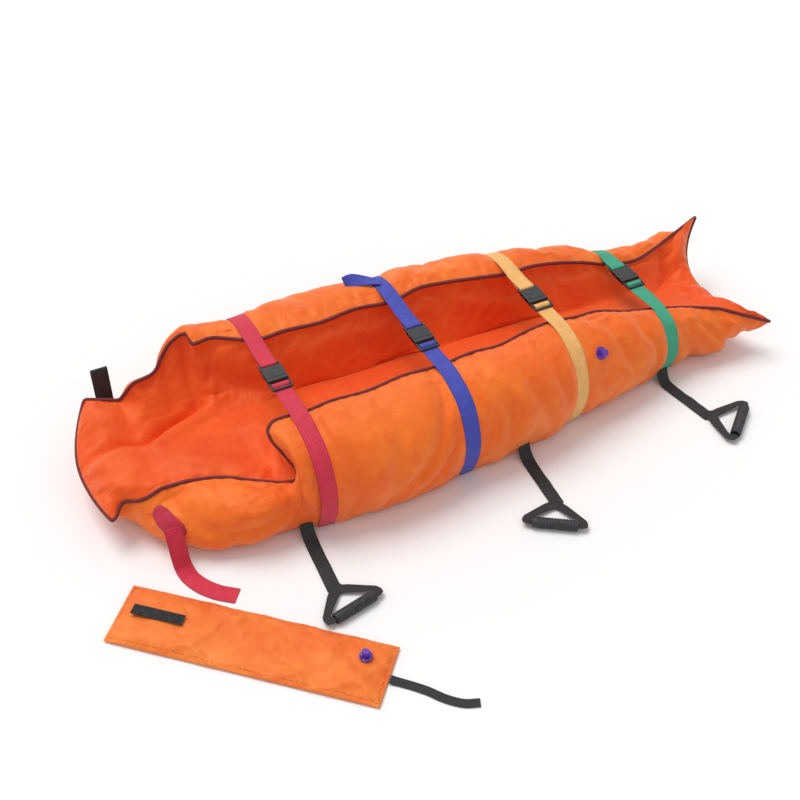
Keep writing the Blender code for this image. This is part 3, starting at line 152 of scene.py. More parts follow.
FAR_SIDE = (
    (-0.880, 0.312, 0.244, 0.148, 0.234, 0.150, 0.000, 0.15),
    (-0.860, 0.316, 0.244, 0.168, 0.234, 0.170, 0.000, 0.12),
    (-0.840, 0.320, 0.238, 0.196, 0.228, 0.198, 0.000, 0.10),
    (-0.800, 0.328, 0.242, 0.202, 0.232, 0.204, 0.002, 0.10),
    (-0.770, 0.332, 0.250, 0.208, 0.240, 0.210, 0.004, 0.15),
    (-0.740, 0.336, 0.272, 0.236, 0.262, 0.238, 0.004, 0.25),
    (-0.700, 0.342, 0.288, 0.276, 0.270, 0.277, 0.006, 0.45),
    (-0.680, 0.344, 0.294, 0.284, 0.276, 0.283, 0.018, 0.60),
    (-0.666, 0.345, 0.292, 0.289, 0.260, 0.280, 0.016, 0.80),
    (-0.655, 0.346, 0.286, 0.290, 0.232, 0.272, 0.000, 1.0),
    (-0.640, 0.347, 0.280, 0.290, 0.228, 0.275, -0.006, 1.0),
    (-0.600, 0.350, 0.268, 0.283, 0.232, 0.276, 0.000, 1.0),
    (-0.550, 0.354, 0.250, 0.283, 0.206, 0.275, 0.000, 1.0),
    (-0.499, 0.360, 0.236, 0.289, 0.170, 0.277, 0.000, 1.0),
    (-0.400, 0.370, 0.236, 0.292, 0.164, 0.281, 0.000, 1.0),
    (-0.300, 0.375, 0.232, 0.291, 0.158, 0.277, 0.000, 1.0),
    (-0.180, 0.370, 0.230, 0.292, 0.166, 0.280, 0.000, 1.0),
    (-0.072, 0.354, 0.224, 0.289, 0.155, 0.276, 0.000, 1.0),
    (0.030, 0.352, 0.232, 0.292, 0.174, 0.280, 0.000, 1.0),
    (0.100, 0.345, 0.226, 0.290, 0.168, 0.277, 0.000, 1.0),
    (0.220, 0.326, 0.204, 0.291, 0.140, 0.277, 0.000, 1.0),
    (0.303, 0.304, 0.186, 0.287, 0.126, 0.273, 0.000, 1.0),
    (0.380, 0.298, 0.186, 0.278, 0.136, 0.266, 0.000, 1.0),
    (0.450, 0.282, 0.180, 0.267, 0.136, 0.254, 0.000, 1.0),
    (0.560, 0.262, 0.172, 0.242, 0.130, 0.226, 0.000, 1.0),
    (0.662, 0.236, 0.160, 0.206, 0.122, 0.191, 0.000, 1.0),
    (0.760, 0.222, 0.160, 0.196, 0.118, 0.178, 0.000, 1.0),
    (0.860, 0.232, 0.182, 0.192, 0.142, 0.186, 0.000, 1.0),
)
# Middle of the mattress: station x, sideways shift of its lowest line, height of the lying surface before
# its fill swells it up
MIDDLE = (
    (-0.880, 0.080, 0.098),
    (-0.800, 0.105, 0.098),
    (-0.700, 0.120, 0.098),
    (-0.620, 0.100, 0.104),
    (-0.550, 0.080, 0.110),
    (-0.300, 0.075, 0.114),
    (0.300, 0.060, 0.117),
    (0.662, 0.045, 0.096),
    (0.860, 0.020, 0.090),
)
FLOOR_TURN = 0.075           # the flat bottom stops this far inside the widest line
WIDEST_SHARE = 0.45          # height of the widest line as a share of the crest's
HEAD_CAP = -0.880            # the ends close from here
FOOT_CAP = 0.860
CAP_DEPTH = 0.045            # half the thickness of a closing end close to its hem, at most
LEAN_FADE = 2.6              # how soon the piping's lean fades out below it
HEAD_HEM = ((-1.022, -0.148, 0.100), (-1.050, 0.052, 0.092), (-0.968, 0.281, 0.150))
FOOT_HEM = ((1.018, -0.246, 0.106), (0.938, 0.000, 0.088), (1.046, 0.206, 0.200))
HEAD_BOW = 2.0
FOOT_BOW = 3.0
HEM_CROWD = 0.75             # how much a hem's points crowd towards its corners
EAR_FULLNESS = 0.70          # how much sooner the foot end fills out at its corners
EAR_DEPTH = 0.110            # half the thickness of a foot corner
EAR_DROOP = 0.75             # how much deeper the underside of an ear hangs than its top stands
EAR_BELLY = 3.2              # how much of that comes behind its tip
NOTCH_ROW = 6.5              # row of the head end where the near piping steps in
NOTCH_SPREAD = 2.2
NOTCH_DEPTH = 0.036
NOTCH_SPAN = (-0.64, -0.52)  # closer rows where the near wall ends in a step
NOTCH_ROWS = 28
ROUND = 0.5523               # handle of a quarter circle as a cubic
HALF_STEPS = 8               # steps of a section from its piping to its middle
OPEN_ROWS = 142
SEAM_EASE = 5                # columns beside the piping over which the fabric is freed
FLOOR_CLEAR = 0.0004         # soft pieces off the floor
HELD_LEVELS = 20             # steps between free and held
MATTRESS_CLOTH = {"most": 0.018, "frames": 24, "pressure": 2.6, "grow": 0.05, "bend": 0.5}
SPLINT_CLOTH = {"most": 0.006, "frames": 16, "pressure": 2.0, "grow": 0.02, "bend": 0.6}
CAP_ROWS = 13
FINE_COLUMNS = 81

# Carry handles: name, root x, heading, turn of the loop, side, loop folded back
HANDLES = (
    ("near_head", -0.556, -3.0, 15.0, -1, False),
    ("near_middle", 0.112, -3.0, -30.0, -1, False),
    ("near_foot", 0.645, 11.0, 30.0, -1, False),
    ("far_head", -0.556, 0.0, 0.0, 1, True),
    ("far_middle", 0.112, 0.0, 0.0, 1, True),
    ("far_foot", 0.610, 0.0, 0.0, 1, True),
)
HANDLE_WIDTH = 0.038
HANDLE_THICK = 0.0030
HANDLE_ROOT_HEIGHT = 0.040
HANDLE_REACH = 0.196         # root to the loop's hinge, along the floor
HANDLE_BEND = 0.028          # where the strap takes its heading
HANDLE_DROP = 0.022          # from there to where it lies on the floor
HANDLE_LAP = 0.012           # strap under the loop's sewn end
HANDLE_WAVE = 0.0016         # how high it waves off the floor
GRIP_LENGTH = 0.124
GRIP_RADIUS = 0.0155
GRIP_RINGS = 13
GRIP_SIDES = 28
LOOP_DEPTH = 0.096
LOOP_BAR = 0.019             # width of the loop's webbing inside the grip
LOOP_ARM = 0.021             # and of its arms
LOOP_BOX = (0.028, 0.012)    # sewn box at the loop's hinge
BOX_START = 0.0004
BOX_RUN = 0.0034
BOX_SKIP = 0.0014
BOX_THREAD = 0.00045
BOX_RISE = 0.0005
BOX_SPOT = 0.0085            # from the loop's hinge
GAP = 0.0003                 # between pieces that would touch

# Buckle, along local +Y from its mouth into the socket
SOCKET_DEPTH = 0.046
BAR = 0.006
BAR_SLOT = 0.010
FRAME_HEIGHT = 0.0050
PLUG_BLOCK = 0.013
PLUG_FRAME = 0.034

# Splint
SPLINT_CENTRE = (-0.823, -0.604, 0.0)
SPLINT_TURN = -41.6
SPLINT_LENGTH = 0.715
SPLINT_WIDTH = 0.184
SPLINT_SIDEWAYS = 0.006      # the cushion reaches this much further to its upper side
SPLINT_EDGE = 0.006
SPLINT_STEPS = (110, 32)
SEWN_INSET = 0.009           # the sewn border in from the edge, in its own groove
GROOVE_WIDTH = 0.0022
GROOVE_DEPTH = 0.0018
SPLINT_CROWN = 0.022
SPLINT_HELD = (((0.287, 0.034), 0.026), ((-0.248, 0.012), 0.080))     # under its valve and its hook patch
SPLINT_STRAP_WIDTH = 0.025
SPLINT_STRAP_ROUTE = ((-0.5200, -0.8740, 0.0012), (-0.4900, -0.9060, 0.0012), (-0.4580, -0.9480, 0.0012),
                      (-0.4240, -0.9780, 0.0012), (-0.3900, -0.9920, 0.0012))
PATCH_SPOT = (-0.890, 0.097)      # red doubling patch on the near wall, where the head strap is sewn: x and z
PATCH_HALF = (0.032, 0.027)
PATCH_LIFT = 0.0010               # off the fabric, so that its weave doesn't show through
PATCH_STEPS = 13
HEAD_STRAP_X = -0.892
HEAD_STRAP_TOP = 0.115
HEAD_STRAP_ROUTE = ((-0.890, -0.2980, 0.0060), (-0.886, -0.3260, 0.0012), (-0.870, -0.3660, 0.0012),
                    (-0.838, -0.4080, 0.0012), (-0.796, -0.4420, 0.0012))
TAB_X = -0.908
TAB_LOW = 0.098
TAB_TOP = 0.218
# Places that the settling fabric is held at, with their radius: valve, head strap, drag tab
HELD_SPOTS = (((0.385, -0.262, 0.215), 0.060), ((HEAD_STRAP_X, -0.26, 0.09), 0.05),
              ((TAB_X, 0.30, 0.12), 0.05))
HANDLE_HELD = (0.30, 0.025, 0.06)       # at a handle's root: y towards its side, z and radius


# Settings that a user would change

def colour(name, what, value):
    """A colour setting, from its sRGB hex value."""
    return bpy.props.FloatVectorProperty(name=name, description=what, default=linear(value), size=3,
                                         min=0.0, max=1.0, subtype="COLOR")


def number(name, what, value, **limits):
    """A number setting."""
    return bpy.props.FloatProperty(name=name, description=what, default=value, **limits)


def linear(text):
    """An sRGB hex value as linear red, green and blue."""
    parts = [int(text[k:k + 2], 16) / 255 for k in (1, 3, 5)]
    return tuple(c / 12.92 if c <= 0.04045 else ((c + 0.055) / 1.055) ** 2.4 for c in parts)


class FabricSettings(bpy.types.PropertyGroup):
    """Coated fabric of the mattress and the splint."""
    outer: colour("Outside", "Colour of the coated fabric outside", "#F3571C")
    # The lying surface is the same fabric as the outside; its darker, redder colour is painted shade inside
    # the trough.
    inner: colour("Lying surface", "Colour of the coated fabric that the patient lies on, darker and redder than the outside as painted shade of the trough", "#EC4013")
    splint: colour("Splint", "Colour of the splint's cover", "#F0622A")
    piping: colour("Piping", "Colour of the edge piping", "#640A12")
    weave: number("Weave", "Thread spacing, coarser than the real 0.5 mm so that it shows", 0.0022,
                  unit="LENGTH")
    fill: number("Fill", "How full of beads the mattress is", 0.45, min=0, max=1, subtype="FACTOR")


class WebbingSettings(bpy.types.PropertyGroup):
    """Straps, handles and tabs."""
    red: colour("Red strap", "Colour of the chest strap and the head strap", "#CC1C3E")
    blue: colour("Blue strap", "Colour of the hip strap", "#363FA6")
    yellow: colour("Yellow strap", "Colour of the thigh strap", "#E8AE62")
    green: colour("Green strap", "Colour of the shin strap", "#2F9A78")
    black: colour("Black webbing", "Colour of the handles and tabs", "#131318")
    rib: number("Rib", "Rib spacing, coarser than the real 1.2 mm so that it shows", 0.0024, unit="LENGTH")


class HardwareSettings(bpy.types.PropertyGroup):
    """Moulded parts."""
    buckle: colour("Buckle", "Colour of the moulded buckles", "#1A1A1E")
    grip: colour("Grip", "Colour of the soft grips", "#141419")
    valve: colour("Valve", "Colour of the valves", "#5A2A9E")
    hook: colour("Hook tape", "Colour of the hook patch", "#17161A")


class StageSettings(bpy.types.PropertyGroup):
    """Floor and light."""
    floor: colour("Floor", "Colour of the floor", "#F7F7F7")
    key: number("Overhead light", "Strength of the large soft light overhead", 1.75)
    softness: number("Softness", "Angle in degrees that the overhead light fills", 36.0)
    sky: number("Room light", "Strength of the even light from all round", 0.60)


# Materials

WAVES_PER_UNIT = 6.283                           # a wave texture's bands over one unit at scale 1
COLOUR_A, COLOUR_B, COLOUR_RESULT = 6, 7, 2      # a Mix node's sockets when it mixes colours
GRAIN = 900.0                                    # specks of the moulded nylon over one metre


def add_node(tree, kind, inputs=None, **settings):
    """A node with its settings; each input is a value or a socket to link."""
    node = tree.nodes.new(kind)
    for key, value in settings.items():
        setattr(node, key, value)
    for key, value in (inputs or {}).items():
        if isinstance(value, bpy.types.NodeSocket):
            tree.links.new(value, node.inputs[key])
        else:
            node.inputs[key].default_value = value
    return node


def start_material(name):
    """A material with an empty node tree, and where it finds a point of its object."""
    mat = bpy.data.materials.new(name)
    mat.use_nodes = True
    tree = mat.node_tree
    tree.nodes.clear()
    return mat, tree, add_node(tree, "ShaderNodeTexCoord").outputs["Object"]


def finish_material(mat, inputs):
    """A Principled shader with these values and links at the end of a material."""
    shader = add_node(mat.node_tree, "ShaderNodeBsdfPrincipled", inputs)
    add_node(mat.node_tree, "ShaderNodeOutputMaterial", {"Surface": shader.outputs["BSDF"]})
    return mat


def noise(tree, place, scale, detail, roughness=0.5, distortion=0.0):
    """Clouds or specks."""
    inputs = {"Vector": place, "Scale": scale, "Detail": detail, "Roughness": roughness,
              "Distortion": distortion}
    return add_node(tree, "ShaderNodeTexNoise", inputs).outputs["Fac"]


def cells(tree, place, scale, spread=1.0):
    """Pimples on a loose grid."""
    inputs = {"Vector": place, "Scale": scale, "Randomness": spread}
    return add_node(tree, "ShaderNodeTexVoronoi", inputs, feature="F1").outputs["Distance"]


def bands(tree, cloth, spacing, direction, distortion):
    """Ribs or threads across the piece's own UV."""
    inputs = {"Vector": cloth, "Scale": 1 / spacing / WAVES_PER_UNIT, "Distortion": distortion}
    wave = add_node(tree, "ShaderNodeTexWave", inputs, wave_type="BANDS", bands_direction=direction)
    return wave.outputs["Fac"]


def maths(tree, operation, *values):
    """A sum, product or the like."""
    return add_node(tree, "ShaderNodeMath", dict(enumerate(values)), operation=operation).outputs["Value"]


def rescale(tree, value, to, span=(0.0, 1.0)):
    """A value brought from one span to another."""
    inputs = {"Value": value, "From Min": span[0], "From Max": span[1], "To Min": to[0], "To Max": to[1]}
    return add_node(tree, "ShaderNodeMapRange", inputs).outputs["Result"]


def shades(tree, factor, low, high, span=(0.0, 1.0)):
    """A ramp from one colour to another."""
    ramp = add_node(tree, "ShaderNodeValToRGB", {"Fac": factor})
    for element, place, shade in zip(ramp.color_ramp.elements, span, (low, high)):
        element.position = place
        element.color = shade
    return ramp.outputs["Color"]


def bumps(tree, *layers):
    """Bumps on top of one another, each as its height, strength and distance."""
    normal = {}
    for height, strength, distance in layers:
        inputs = {"Height": height, "Strength": strength, "Distance": distance}
        normal = {"Normal": add_node(tree, "ShaderNodeBump", {**inputs, **normal}).outputs["Normal"]}
    return normal["Normal"]


def tint(rgb, factor, lift=0.0):
    """A colour lifted off black, then made darker or lighter, with its alpha."""
    return tuple(min((c + lift) * factor, 1.0) for c in rgb) + (1.0,)


def coated_nylon(name, rgb, weave):
    """PVC-coated woven nylon: a soft satin face, faint thread relief and scuffed, sun-paled patches."""
    mat, tree, place = start_material(name)
    cloth = add_node(tree, "ShaderNodeUVMap", uv_map="cloth").outputs["UV"]
    wear = add_node(tree, "ShaderNodeMix", {0: 0.35, 2: noise(tree, place, 5.5, 5.0, 0.62),
                                            3: noise(tree, place, 38.0, 4.0, 0.6)}).outputs["Result"]
    paled = (min(rgb[0] * 1.05, 1), rgb[1] * 2.1, rgb[2] * 2.0, 1)
    threads = maths(tree, "MAXIMUM", bands(tree, cloth, weave, "X", 0.4), bands(tree, cloth, weave, "Y", 0.4))
    crumple = noise(tree, place, 9.0, 2.0, distortion=1.6)
    rumple = noise(tree, place, 26.0, 3.0, 0.55)
    return finish_material(mat, {
        "Base Color": shades(tree, wear, tint(rgb, 0.90), paled, (0.32, 0.70)),
        "Normal": bumps(tree, (threads, 0.16, 0.0004), (crumple, 0.30, 0.02), (rumple, 0.25, 0.006)),
        "Roughness": rescale(tree, wear, (0.58, 0.46)),
        "Sheen Weight": 0.35, "Sheen Roughness": 0.5, "Sheen Tint": (1.0, 0.66, 0.30, 1.0),
        "Specular IOR Level": 0.50, "Specular Tint": (1.0, 0.72, 0.36, 1.0)})


def woven_webbing(name, rgb, rib):
    """Polyester webbing, woven in ribs across it: matt, paler on the raised ribs and darker in the grooves
    between them, with specks and a darker selvedge.
    """
    mat, tree, place = start_material(name)
    cloth = add_node(tree, "ShaderNodeUVMap", uv_map="cloth").outputs["UV"]
    ribs, warp = bands(tree, cloth, rib, "Y", 0.15), bands(tree, cloth, rib * 1.6, "X", 0.1)
    relief = maths(tree, "MULTIPLY", ribs, warp)
    # colour follows the rib height, paler on raised ribs and darker in the grooves, with noise specks on top
    rib_height_and_specks = maths(tree, "ADD", rescale(tree, relief, (0.0, 0.55)), noise(tree, place, 60.0, 4.0, 0.65))
    face = shades(tree, rib_height_and_specks, tint(rgb, 0.78), tint(rgb, 1.22, 0.012), (0.30, 1.0))
    split = add_node(tree, "ShaderNodeSeparateXYZ", {"Vector": cloth})
    selvedge = rescale(tree, maths(tree, "ABSOLUTE", split.outputs["X"]), (0.0, 0.35), (0.0185, 0.0225))
    mixed = add_node(tree, "ShaderNodeMix", {"Factor": selvedge, COLOUR_A: face, COLOUR_B: tint(rgb, 0.5)},
                     data_type="RGBA")
    return finish_material(mat, {"Base Color": mixed.outputs[COLOUR_RESULT], "Roughness": 0.74,
                                 "Normal": bumps(tree, (relief, 0.35, 0.0005)),
                                 "Sheen Weight": min(0.15, 0.2 * max(rgb))})


def moulded_nylon(name, rgb, roughness=0.38):
    """Injection-moulded nylon: fine spark-eroded grain, a soft gloss and a cloudy tone."""
    mat, tree, place = start_material(name)
    cloud = noise(tree, place, 70.0, 4.0, 0.6)
    return finish_material(mat, {
        "Base Color": shades(tree, cloud, tint(rgb, 0.85), tint(rgb, 1.25, 0.01), (0.35, 0.75)),
        "Roughness": rescale(tree, cloud, (roughness - 0.08, roughness + 0.12)),
        "Normal": bumps(tree, (noise(tree, place, GRAIN, 2.0), 0.12, 0.0003))})


def foam_grip(name, rgb):
    """Dipped soft vinyl over foam: matt, leathery pimples and greyed high spots."""
    mat, tree, place = start_material(name)
    cloud = noise(tree, place, 90.0, 5.0, 0.65)
    return finish_material(mat, {
        "Base Color": shades(tree, cloud, tint(rgb, 0.8), tint(rgb, 1.5, 0.02), (0.35, 0.78)),
        "Roughness": 0.62, "Normal": bumps(tree, (cells(tree, place, 420.0), 0.3, 0.0008))})


def hook_tape(name, rgb):
    """Hook side of a nylon touch fastener: rows of tiny hooks over a dark tape, dusty on top."""
    mat, tree, place = start_material(name)
    dust = noise(tree, place, 140.0, 5.0, 0.7)
    return finish_material(mat, {
        "Base Color": shades(tree, dust, tint(rgb, 0.8), tint(rgb, 1.3, 0.03), (0.40, 0.80)),
        "Roughness": 0.9, "Normal": bumps(tree, (cells(tree, place, 520.0, 0.35), 0.8, 0.0012))})


def polyester_thread(name, rgb):
    """Bonded polyester thread: twisted, slightly glossy."""
    mat, tree, place = start_material(name)
    twist = noise(tree, place, 700.0, 2.0)
    return finish_material(mat, {"Base Color": shades(tree, twist, tint(rgb, 0.7), tint(rgb, 1.2)),
                                 "Roughness": 0.55})


def studio_floor(name, rgb):
    """Pale paper sweep: matt and almost even."""
    mat, tree, place = start_material(name)
    grain = noise(tree, place, 3.0, 3.0)
    return finish_material(mat, {"Base Color": shades(tree, grain, tint(rgb, 0.985), tint(rgb, 1.0)),
                                 "Roughness": 0.9, "Specular IOR Level": 0.1})


def material_of(name):
    """A finished material by its name, made once."""
    if name in bpy.data.materials:
        return bpy.data.materials[name]
    scene = bpy.context.scene
    cloth, web, hard = scene.stretcher_fabric, scene.stretcher_webbing, scene.stretcher_hardware
    makers = {
        "coated nylon outside": (coated_nylon, cloth.outer, cloth.weave),
        # the lying surface's material is the outside fabric darkened and reddened as painted shade of the
        # trough
        "coated nylon lying surface": (coated_nylon, cloth.inner, cloth.weave),
        "coated nylon splint": (coated_nylon, cloth.splint, cloth.weave),
        "piping tape": (woven_webbing, cloth.piping, web.rib),
        "moulded nylon black": (moulded_nylon, hard.buckle),
        "moulded plastic purple": (moulded_nylon, hard.valve, 0.34),
        "filter foam": (foam_grip, linear("#B9B7AE")),
        "soft vinyl grip": (foam_grip, hard.grip),
        "hook tape": (hook_tape, hard.hook),
        "thread": (polyester_thread, linear("#7A1C18")),
        "black thread": (polyester_thread, linear("#3A3A40")),
        "pale studio floor": (studio_floor, scene.stretcher_stage.floor),
    }
    for tone in ("red", "blue", "yellow", "green", "black"):
        makers[f"{tone} webbing"] = (woven_webbing, getattr(web, tone), web.rib)
    maker, rgb, *rest = makers[name]
    return maker(name, tuple(rgb), *rest)


# Making and finishing pieces

def clear_selection():
    """Nothing selected, nothing active."""
    for obj in bpy.context.view_layer.objects:
        obj.select_set(False)
    bpy.context.view_layer.objects.active = None


def make_active(obj):
    """Only this object selected."""
    clear_selection()
    bpy.context.view_layer.objects.active = obj
    obj.select_set(True)


def finish_piece(obj, mat, body, replaced=()):
    """Material in its slot, body, and the solids that the piece replaces hidden."""
    if mat:
        obj.data.materials.clear()
        obj.data.materials.append(material_of(mat))
    if body:
        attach(obj, body)
    if replaced:
        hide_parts(*replaced)
    return obj


def mesh_object(name, verts, faces, uvs=None):
    """A closed mesh from points and faces, smooth and turned outwards; uvs holds one pair for each point."""
    mesh = bpy.data.meshes.new(name)
    mesh.from_pydata([tuple(map(float, v)) for v in verts], [], [tuple(int(k) for k in f) for f in faces])
    if uvs is not None:
        layer = mesh.uv_layers.new(name="cloth")
        loops = np.zeros(len(mesh.loops), int)
        mesh.loops.foreach_get("vertex_index", loops)
        layer.data.foreach_set("uv", np.asarray(uvs, float)[loops].ravel())
    work = bmesh.new()
    work.from_mesh(mesh)
    bmesh.ops.recalc_face_normals(work, faces=work.faces)
    work.to_mesh(mesh)
    work.free()
    mesh.shade_smooth()
    return link(name, mesh)


def link(name, data):
    """A new object of the scene."""
    obj = bpy.data.objects.new(name, data)
    bpy.context.scene.collection.objects.link(obj)
    return obj


def run_length(points):
    """The way along a line at each of its points."""
    steps = np.linalg.norm(np.diff(points[:, :3], axis=0), axis=1)
    return np.concatenate([[0], np.cumsum(steps)])


def unit(vectors):
    """Rows brought to length one."""
    return vectors / np.linalg.norm(vectors, axis=1)[:, None]


def even_line(points, run, at):
    """A line of straight runs, read at places along it."""
    return np.stack([np.interp(at, run, points[:, k]) for k in range(points.shape[1])], axis=1)


def skin(rings, sides, closed=False):
    """Faces over rings of points, with an end face at either end unless the last ring joins the first."""
    faces = []
    for i in range(rings if closed else rings - 1):
        a, b = i * sides, (i + 1) % rings * sides
        faces += [(a + j, a + (j + 1) % sides, b + (j + 1) % sides, b + j) for j in range(sides)]
    if not closed:
        faces += [tuple(range(sides - 1, -1, -1)), tuple(range((rings - 1) * sides, rings * sides))]
    return faces


def smooth_line(points, count):
    """A smooth curve through points, evenly stepped along its length; further columns are carried along."""
    pts = np.asarray(points, float)
    knots = run_length(pts)
    dense = catmull(pts, knots, np.linspace(0, knots[-1], max(count * 6, 60)))
    run = run_length(dense)
    return even_line(dense, run, np.linspace(0, run[-1], count))


def catmull(pts, knots, at):
    """Smooth curve through three or more points at their knots, read at other places."""
    k = np.clip(np.searchsorted(knots, at, side="right") - 1, 0, len(knots) - 2)
    slopes = np.gradient(pts, knots, axis=0)
    span = (knots[k + 1] - knots[k])[:, None]
    t = ((at - knots[k]) / (knots[k + 1] - knots[k]))[:, None]
    return (pts[k] * (2 * t ** 3 - 3 * t ** 2 + 1) + slopes[k] * span * (t ** 3 - 2 * t ** 2 + t)
            + pts[k + 1] * (3 * t ** 2 - 2 * t ** 3) + slopes[k + 1] * span * (t ** 3 - t ** 2))


def webbing(name, points, across, width, thick=WEB_THICK):
    """A strap with soft selvedges along a line; across is its width direction at each point. UV in metres."""
    wide = np.broadcast_to(np.asarray(across, float), points.shape)
    way = unit(np.gradient(points, axis=0))
    wide = unit(wide - way * np.sum(wide * way, axis=1)[:, None])
    up = np.cross(wide, way)
    half, tall = width / 2, thick / 2
    edge = half - tall * 0.6
    top = [(-half, 0.0), (-edge, tall * 0.8), (-half * 0.86, tall), (-half * 0.4, tall * 1.05),
           (half * 0.4, tall * 1.05), (half * 0.86, tall), (edge, tall * 0.8)]
    ring = top + [(half, 0.0), (edge, -tall * 0.8), (half * 0.86, -tall), (half * 0.4, -tall),
                  (-half * 0.4, -tall), (-half * 0.86, -tall), (-edge, -tall * 0.8)]
    verts = [p + w * a + u * b for p, w, u in zip(points, wide, up) for a, b in ring]
    uvs = [(a, s) for s in run_length(points) for a, _ in ring]
    return mesh_object(name, verts, skin(len(points), len(ring)), uvs)


def tube(name, points, radius, sides):
    """A round tube along a line that closes on itself."""
    n = len(points)
    way = unit(np.roll(points, -1, 0) - np.roll(points, 1, 0))
    ref = np.cross(way[0], (0.0, 0.0, 1.0))
    frames = []
    for k in range(n):
        ref = ref - way[k] * np.dot(ref, way[k])
        ref /= np.linalg.norm(ref)
        frames.append((ref, np.cross(way[k], ref)))
    first, last = frames[0][0], frames[-1][0]
    left = first - way[0] * np.dot(first, way[0])
    twist = math.atan2(np.dot(np.cross(last, left), way[0]), np.dot(last, left))
    verts, uvs = [], []
    for k, (p, (f, g), s) in enumerate(zip(points, frames, run_length(points))):
        # the twist that is left is spread over the whole loop
        c, d = math.cos(twist * k / n), math.sin(twist * k / n)
        for j in range(sides):
            a = math.tau * j / sides
            verts.append(p + radius * ((f * c + g * d) * math.cos(a) + (g * c - f * d) * math.sin(a)))
            uvs.append((radius * (a - math.pi), s))
    return mesh_object(name, verts, skin(n, sides, closed=True), uvs)


# The mattress surface

def read_table(table, x):
    """A table's columns at x, on smooth curves through its rows."""
    rows = np.array(table, float)
    x = np.clip(np.atleast_1d(np.asarray(x, float)), rows[0, 0], rows[-1, 0])
    return catmull(rows[:, 1:], rows[:, 0], x)[0]


def bezier(points, t):
    """A point of a cubic curve."""
    a, b, c, d = (np.array(p, float) for p in points)
    u = 1 - t
    return a * u ** 3 + 3 * b * u * u * t + 3 * c * u * t * t + d * t ** 3


def outer_half(x, side):
    """Piping to bottom middle, outside, as (distance from the centre line, height)."""
    wide, crest_y, crest_z, seam_y, seam_z, _, bulge = read_table(NEAR_SIDE if side < 0 else FAR_SIDE, x)
    round_out = ROUND * bulge
    widest_z = crest_z * WIDEST_SHARE
    flat = wide - FLOOR_TURN
    rim = ((seam_y, seam_z), (seam_y + 0.35 * (crest_y - seam_y), crest_z - 0.15 * (crest_z - seam_z)),
           (crest_y - 0.35 * (crest_y - seam_y), crest_z), (crest_y, crest_z))
    top = ((crest_y, crest_z), (crest_y + round_out * (wide - crest_y), crest_z),
           (wide, widest_z + round_out * (crest_z - widest_z)), (wide, widest_z))
    low = ((wide, widest_z), (wide, widest_z * (1 - ROUND)), (flat + ROUND * (wide - flat), 0), (flat, 0))
    return [bezier(rim, 0), bezier(rim, 0.5), bezier(top, 0), bezier(top, 0.36), bezier(top, 0.68),
            bezier(low, 0), bezier(low, 0.55), bezier(low, 1), np.array((0.0, 0.0))]


def inner_half(x, side):
    """Piping to the lowest line of the lying surface, inside."""
    seam_y, seam_z = read_table(NEAR_SIDE if side < 0 else FAR_SIDE, x)[3:5]
    shift, floor_z = read_table(MIDDLE, x)
    drop = seam_z - floor_z
    lower = seam_y * 0.66 if side > 0 else seam_y * 0.50
    lift = 0.004 if side > 0 else -0.05 * drop
    wall = ((seam_y, seam_z), (seam_y * 0.86, seam_z - 0.62 * drop - lift),
            (max(lower, shift * side + 0.02), floor_z), (shift * side, floor_z))
    return [bezier(wall, k / HALF_STEPS) for k in range(HALF_STEPS + 1)]


def section(x, half):
    """A full section at x, near piping to far piping."""
    points = []
    near, far = half(x, -1), half(x, 1)
    near_lean = read_table(NEAR_SIDE, x)[5]
    far_lean = read_table(FAR_SIDE, x)[5]
    for k in range(HALF_STEPS + 1):
        points.append((x + near_lean * (1 - k / HALF_STEPS) ** LEAN_FADE, -near[k][0], near[k][1]))
    for k in range(HALF_STEPS - 1, -1, -1):
        points.append((x + far_lean * (1 - k / HALF_STEPS) ** LEAN_FADE, far[k][0], far[k][1]))
    return np.array(points)


def hem_curve(hem, bow):
    """A hem from its near corner to its far corner."""
    near, middle, far = (np.array(p) for p in hem)
    points = []
    for j in range(2 * HALF_STEPS + 1):
        even = j / HALF_STEPS - 1
        s = even + HEM_CROWD * (math.sin(math.pi / 2 * even) - even)
        corner = near if s < 0 else far
        points.append(middle + (corner - middle) * np.array((abs(s) ** bow, abs(s), s * s)))
    return np.array(points)


def closing_rows(hem, x, turn, ears=0.0):
    """An outside and an inside row of an end that rounds off to its hem; turn goes from 0 at the hem to 1."""
    angle = turn * math.pi / 2
    share = 1 - math.cos(angle)
    corner = np.abs(np.linspace(-1, 1, len(hem)))
    full = (math.sin(angle) ** (1 - ears * corner))[:, None]
    outer, inner = section(x, outer_half), section(x, inner_half)
    reach = (inner - outer) / 2
    length = np.linalg.norm(reach, axis=1)[:, None]
    border = np.minimum(HALF_STEPS - np.abs(np.arange(len(hem)) - HALF_STEPS), 2.5) / 2.5
    fullest = np.maximum(length, (ears * corner * border * EAR_DEPTH)[:, None])
    way = reach / np.maximum(length, 0.000001) * share + np.array((0.0, 0.0, 1.0 - share))
    way /= np.linalg.norm(way, axis=1)[:, None]
    size = length * share + np.minimum(fullest, CAP_DEPTH * (1 + ears * corner[:, None])) * (1 - share)
    middle = hem + ((outer + inner) / 2 - hem) * share
    sag = (1 - share) * (1 + EAR_BELLY * share)
    droop = (1 + EAR_DROOP * ears * corner ** 2 * sag)[:, None]
    return middle - way * size * full * droop, middle + way * size * full


def widen(points, count):
    """A row of section points on a smooth curve with more points."""
    pts = np.asarray(points)
    knots = np.arange(len(pts), dtype=float)
    return catmull(pts, knots, np.linspace(0, len(pts) - 1, count))


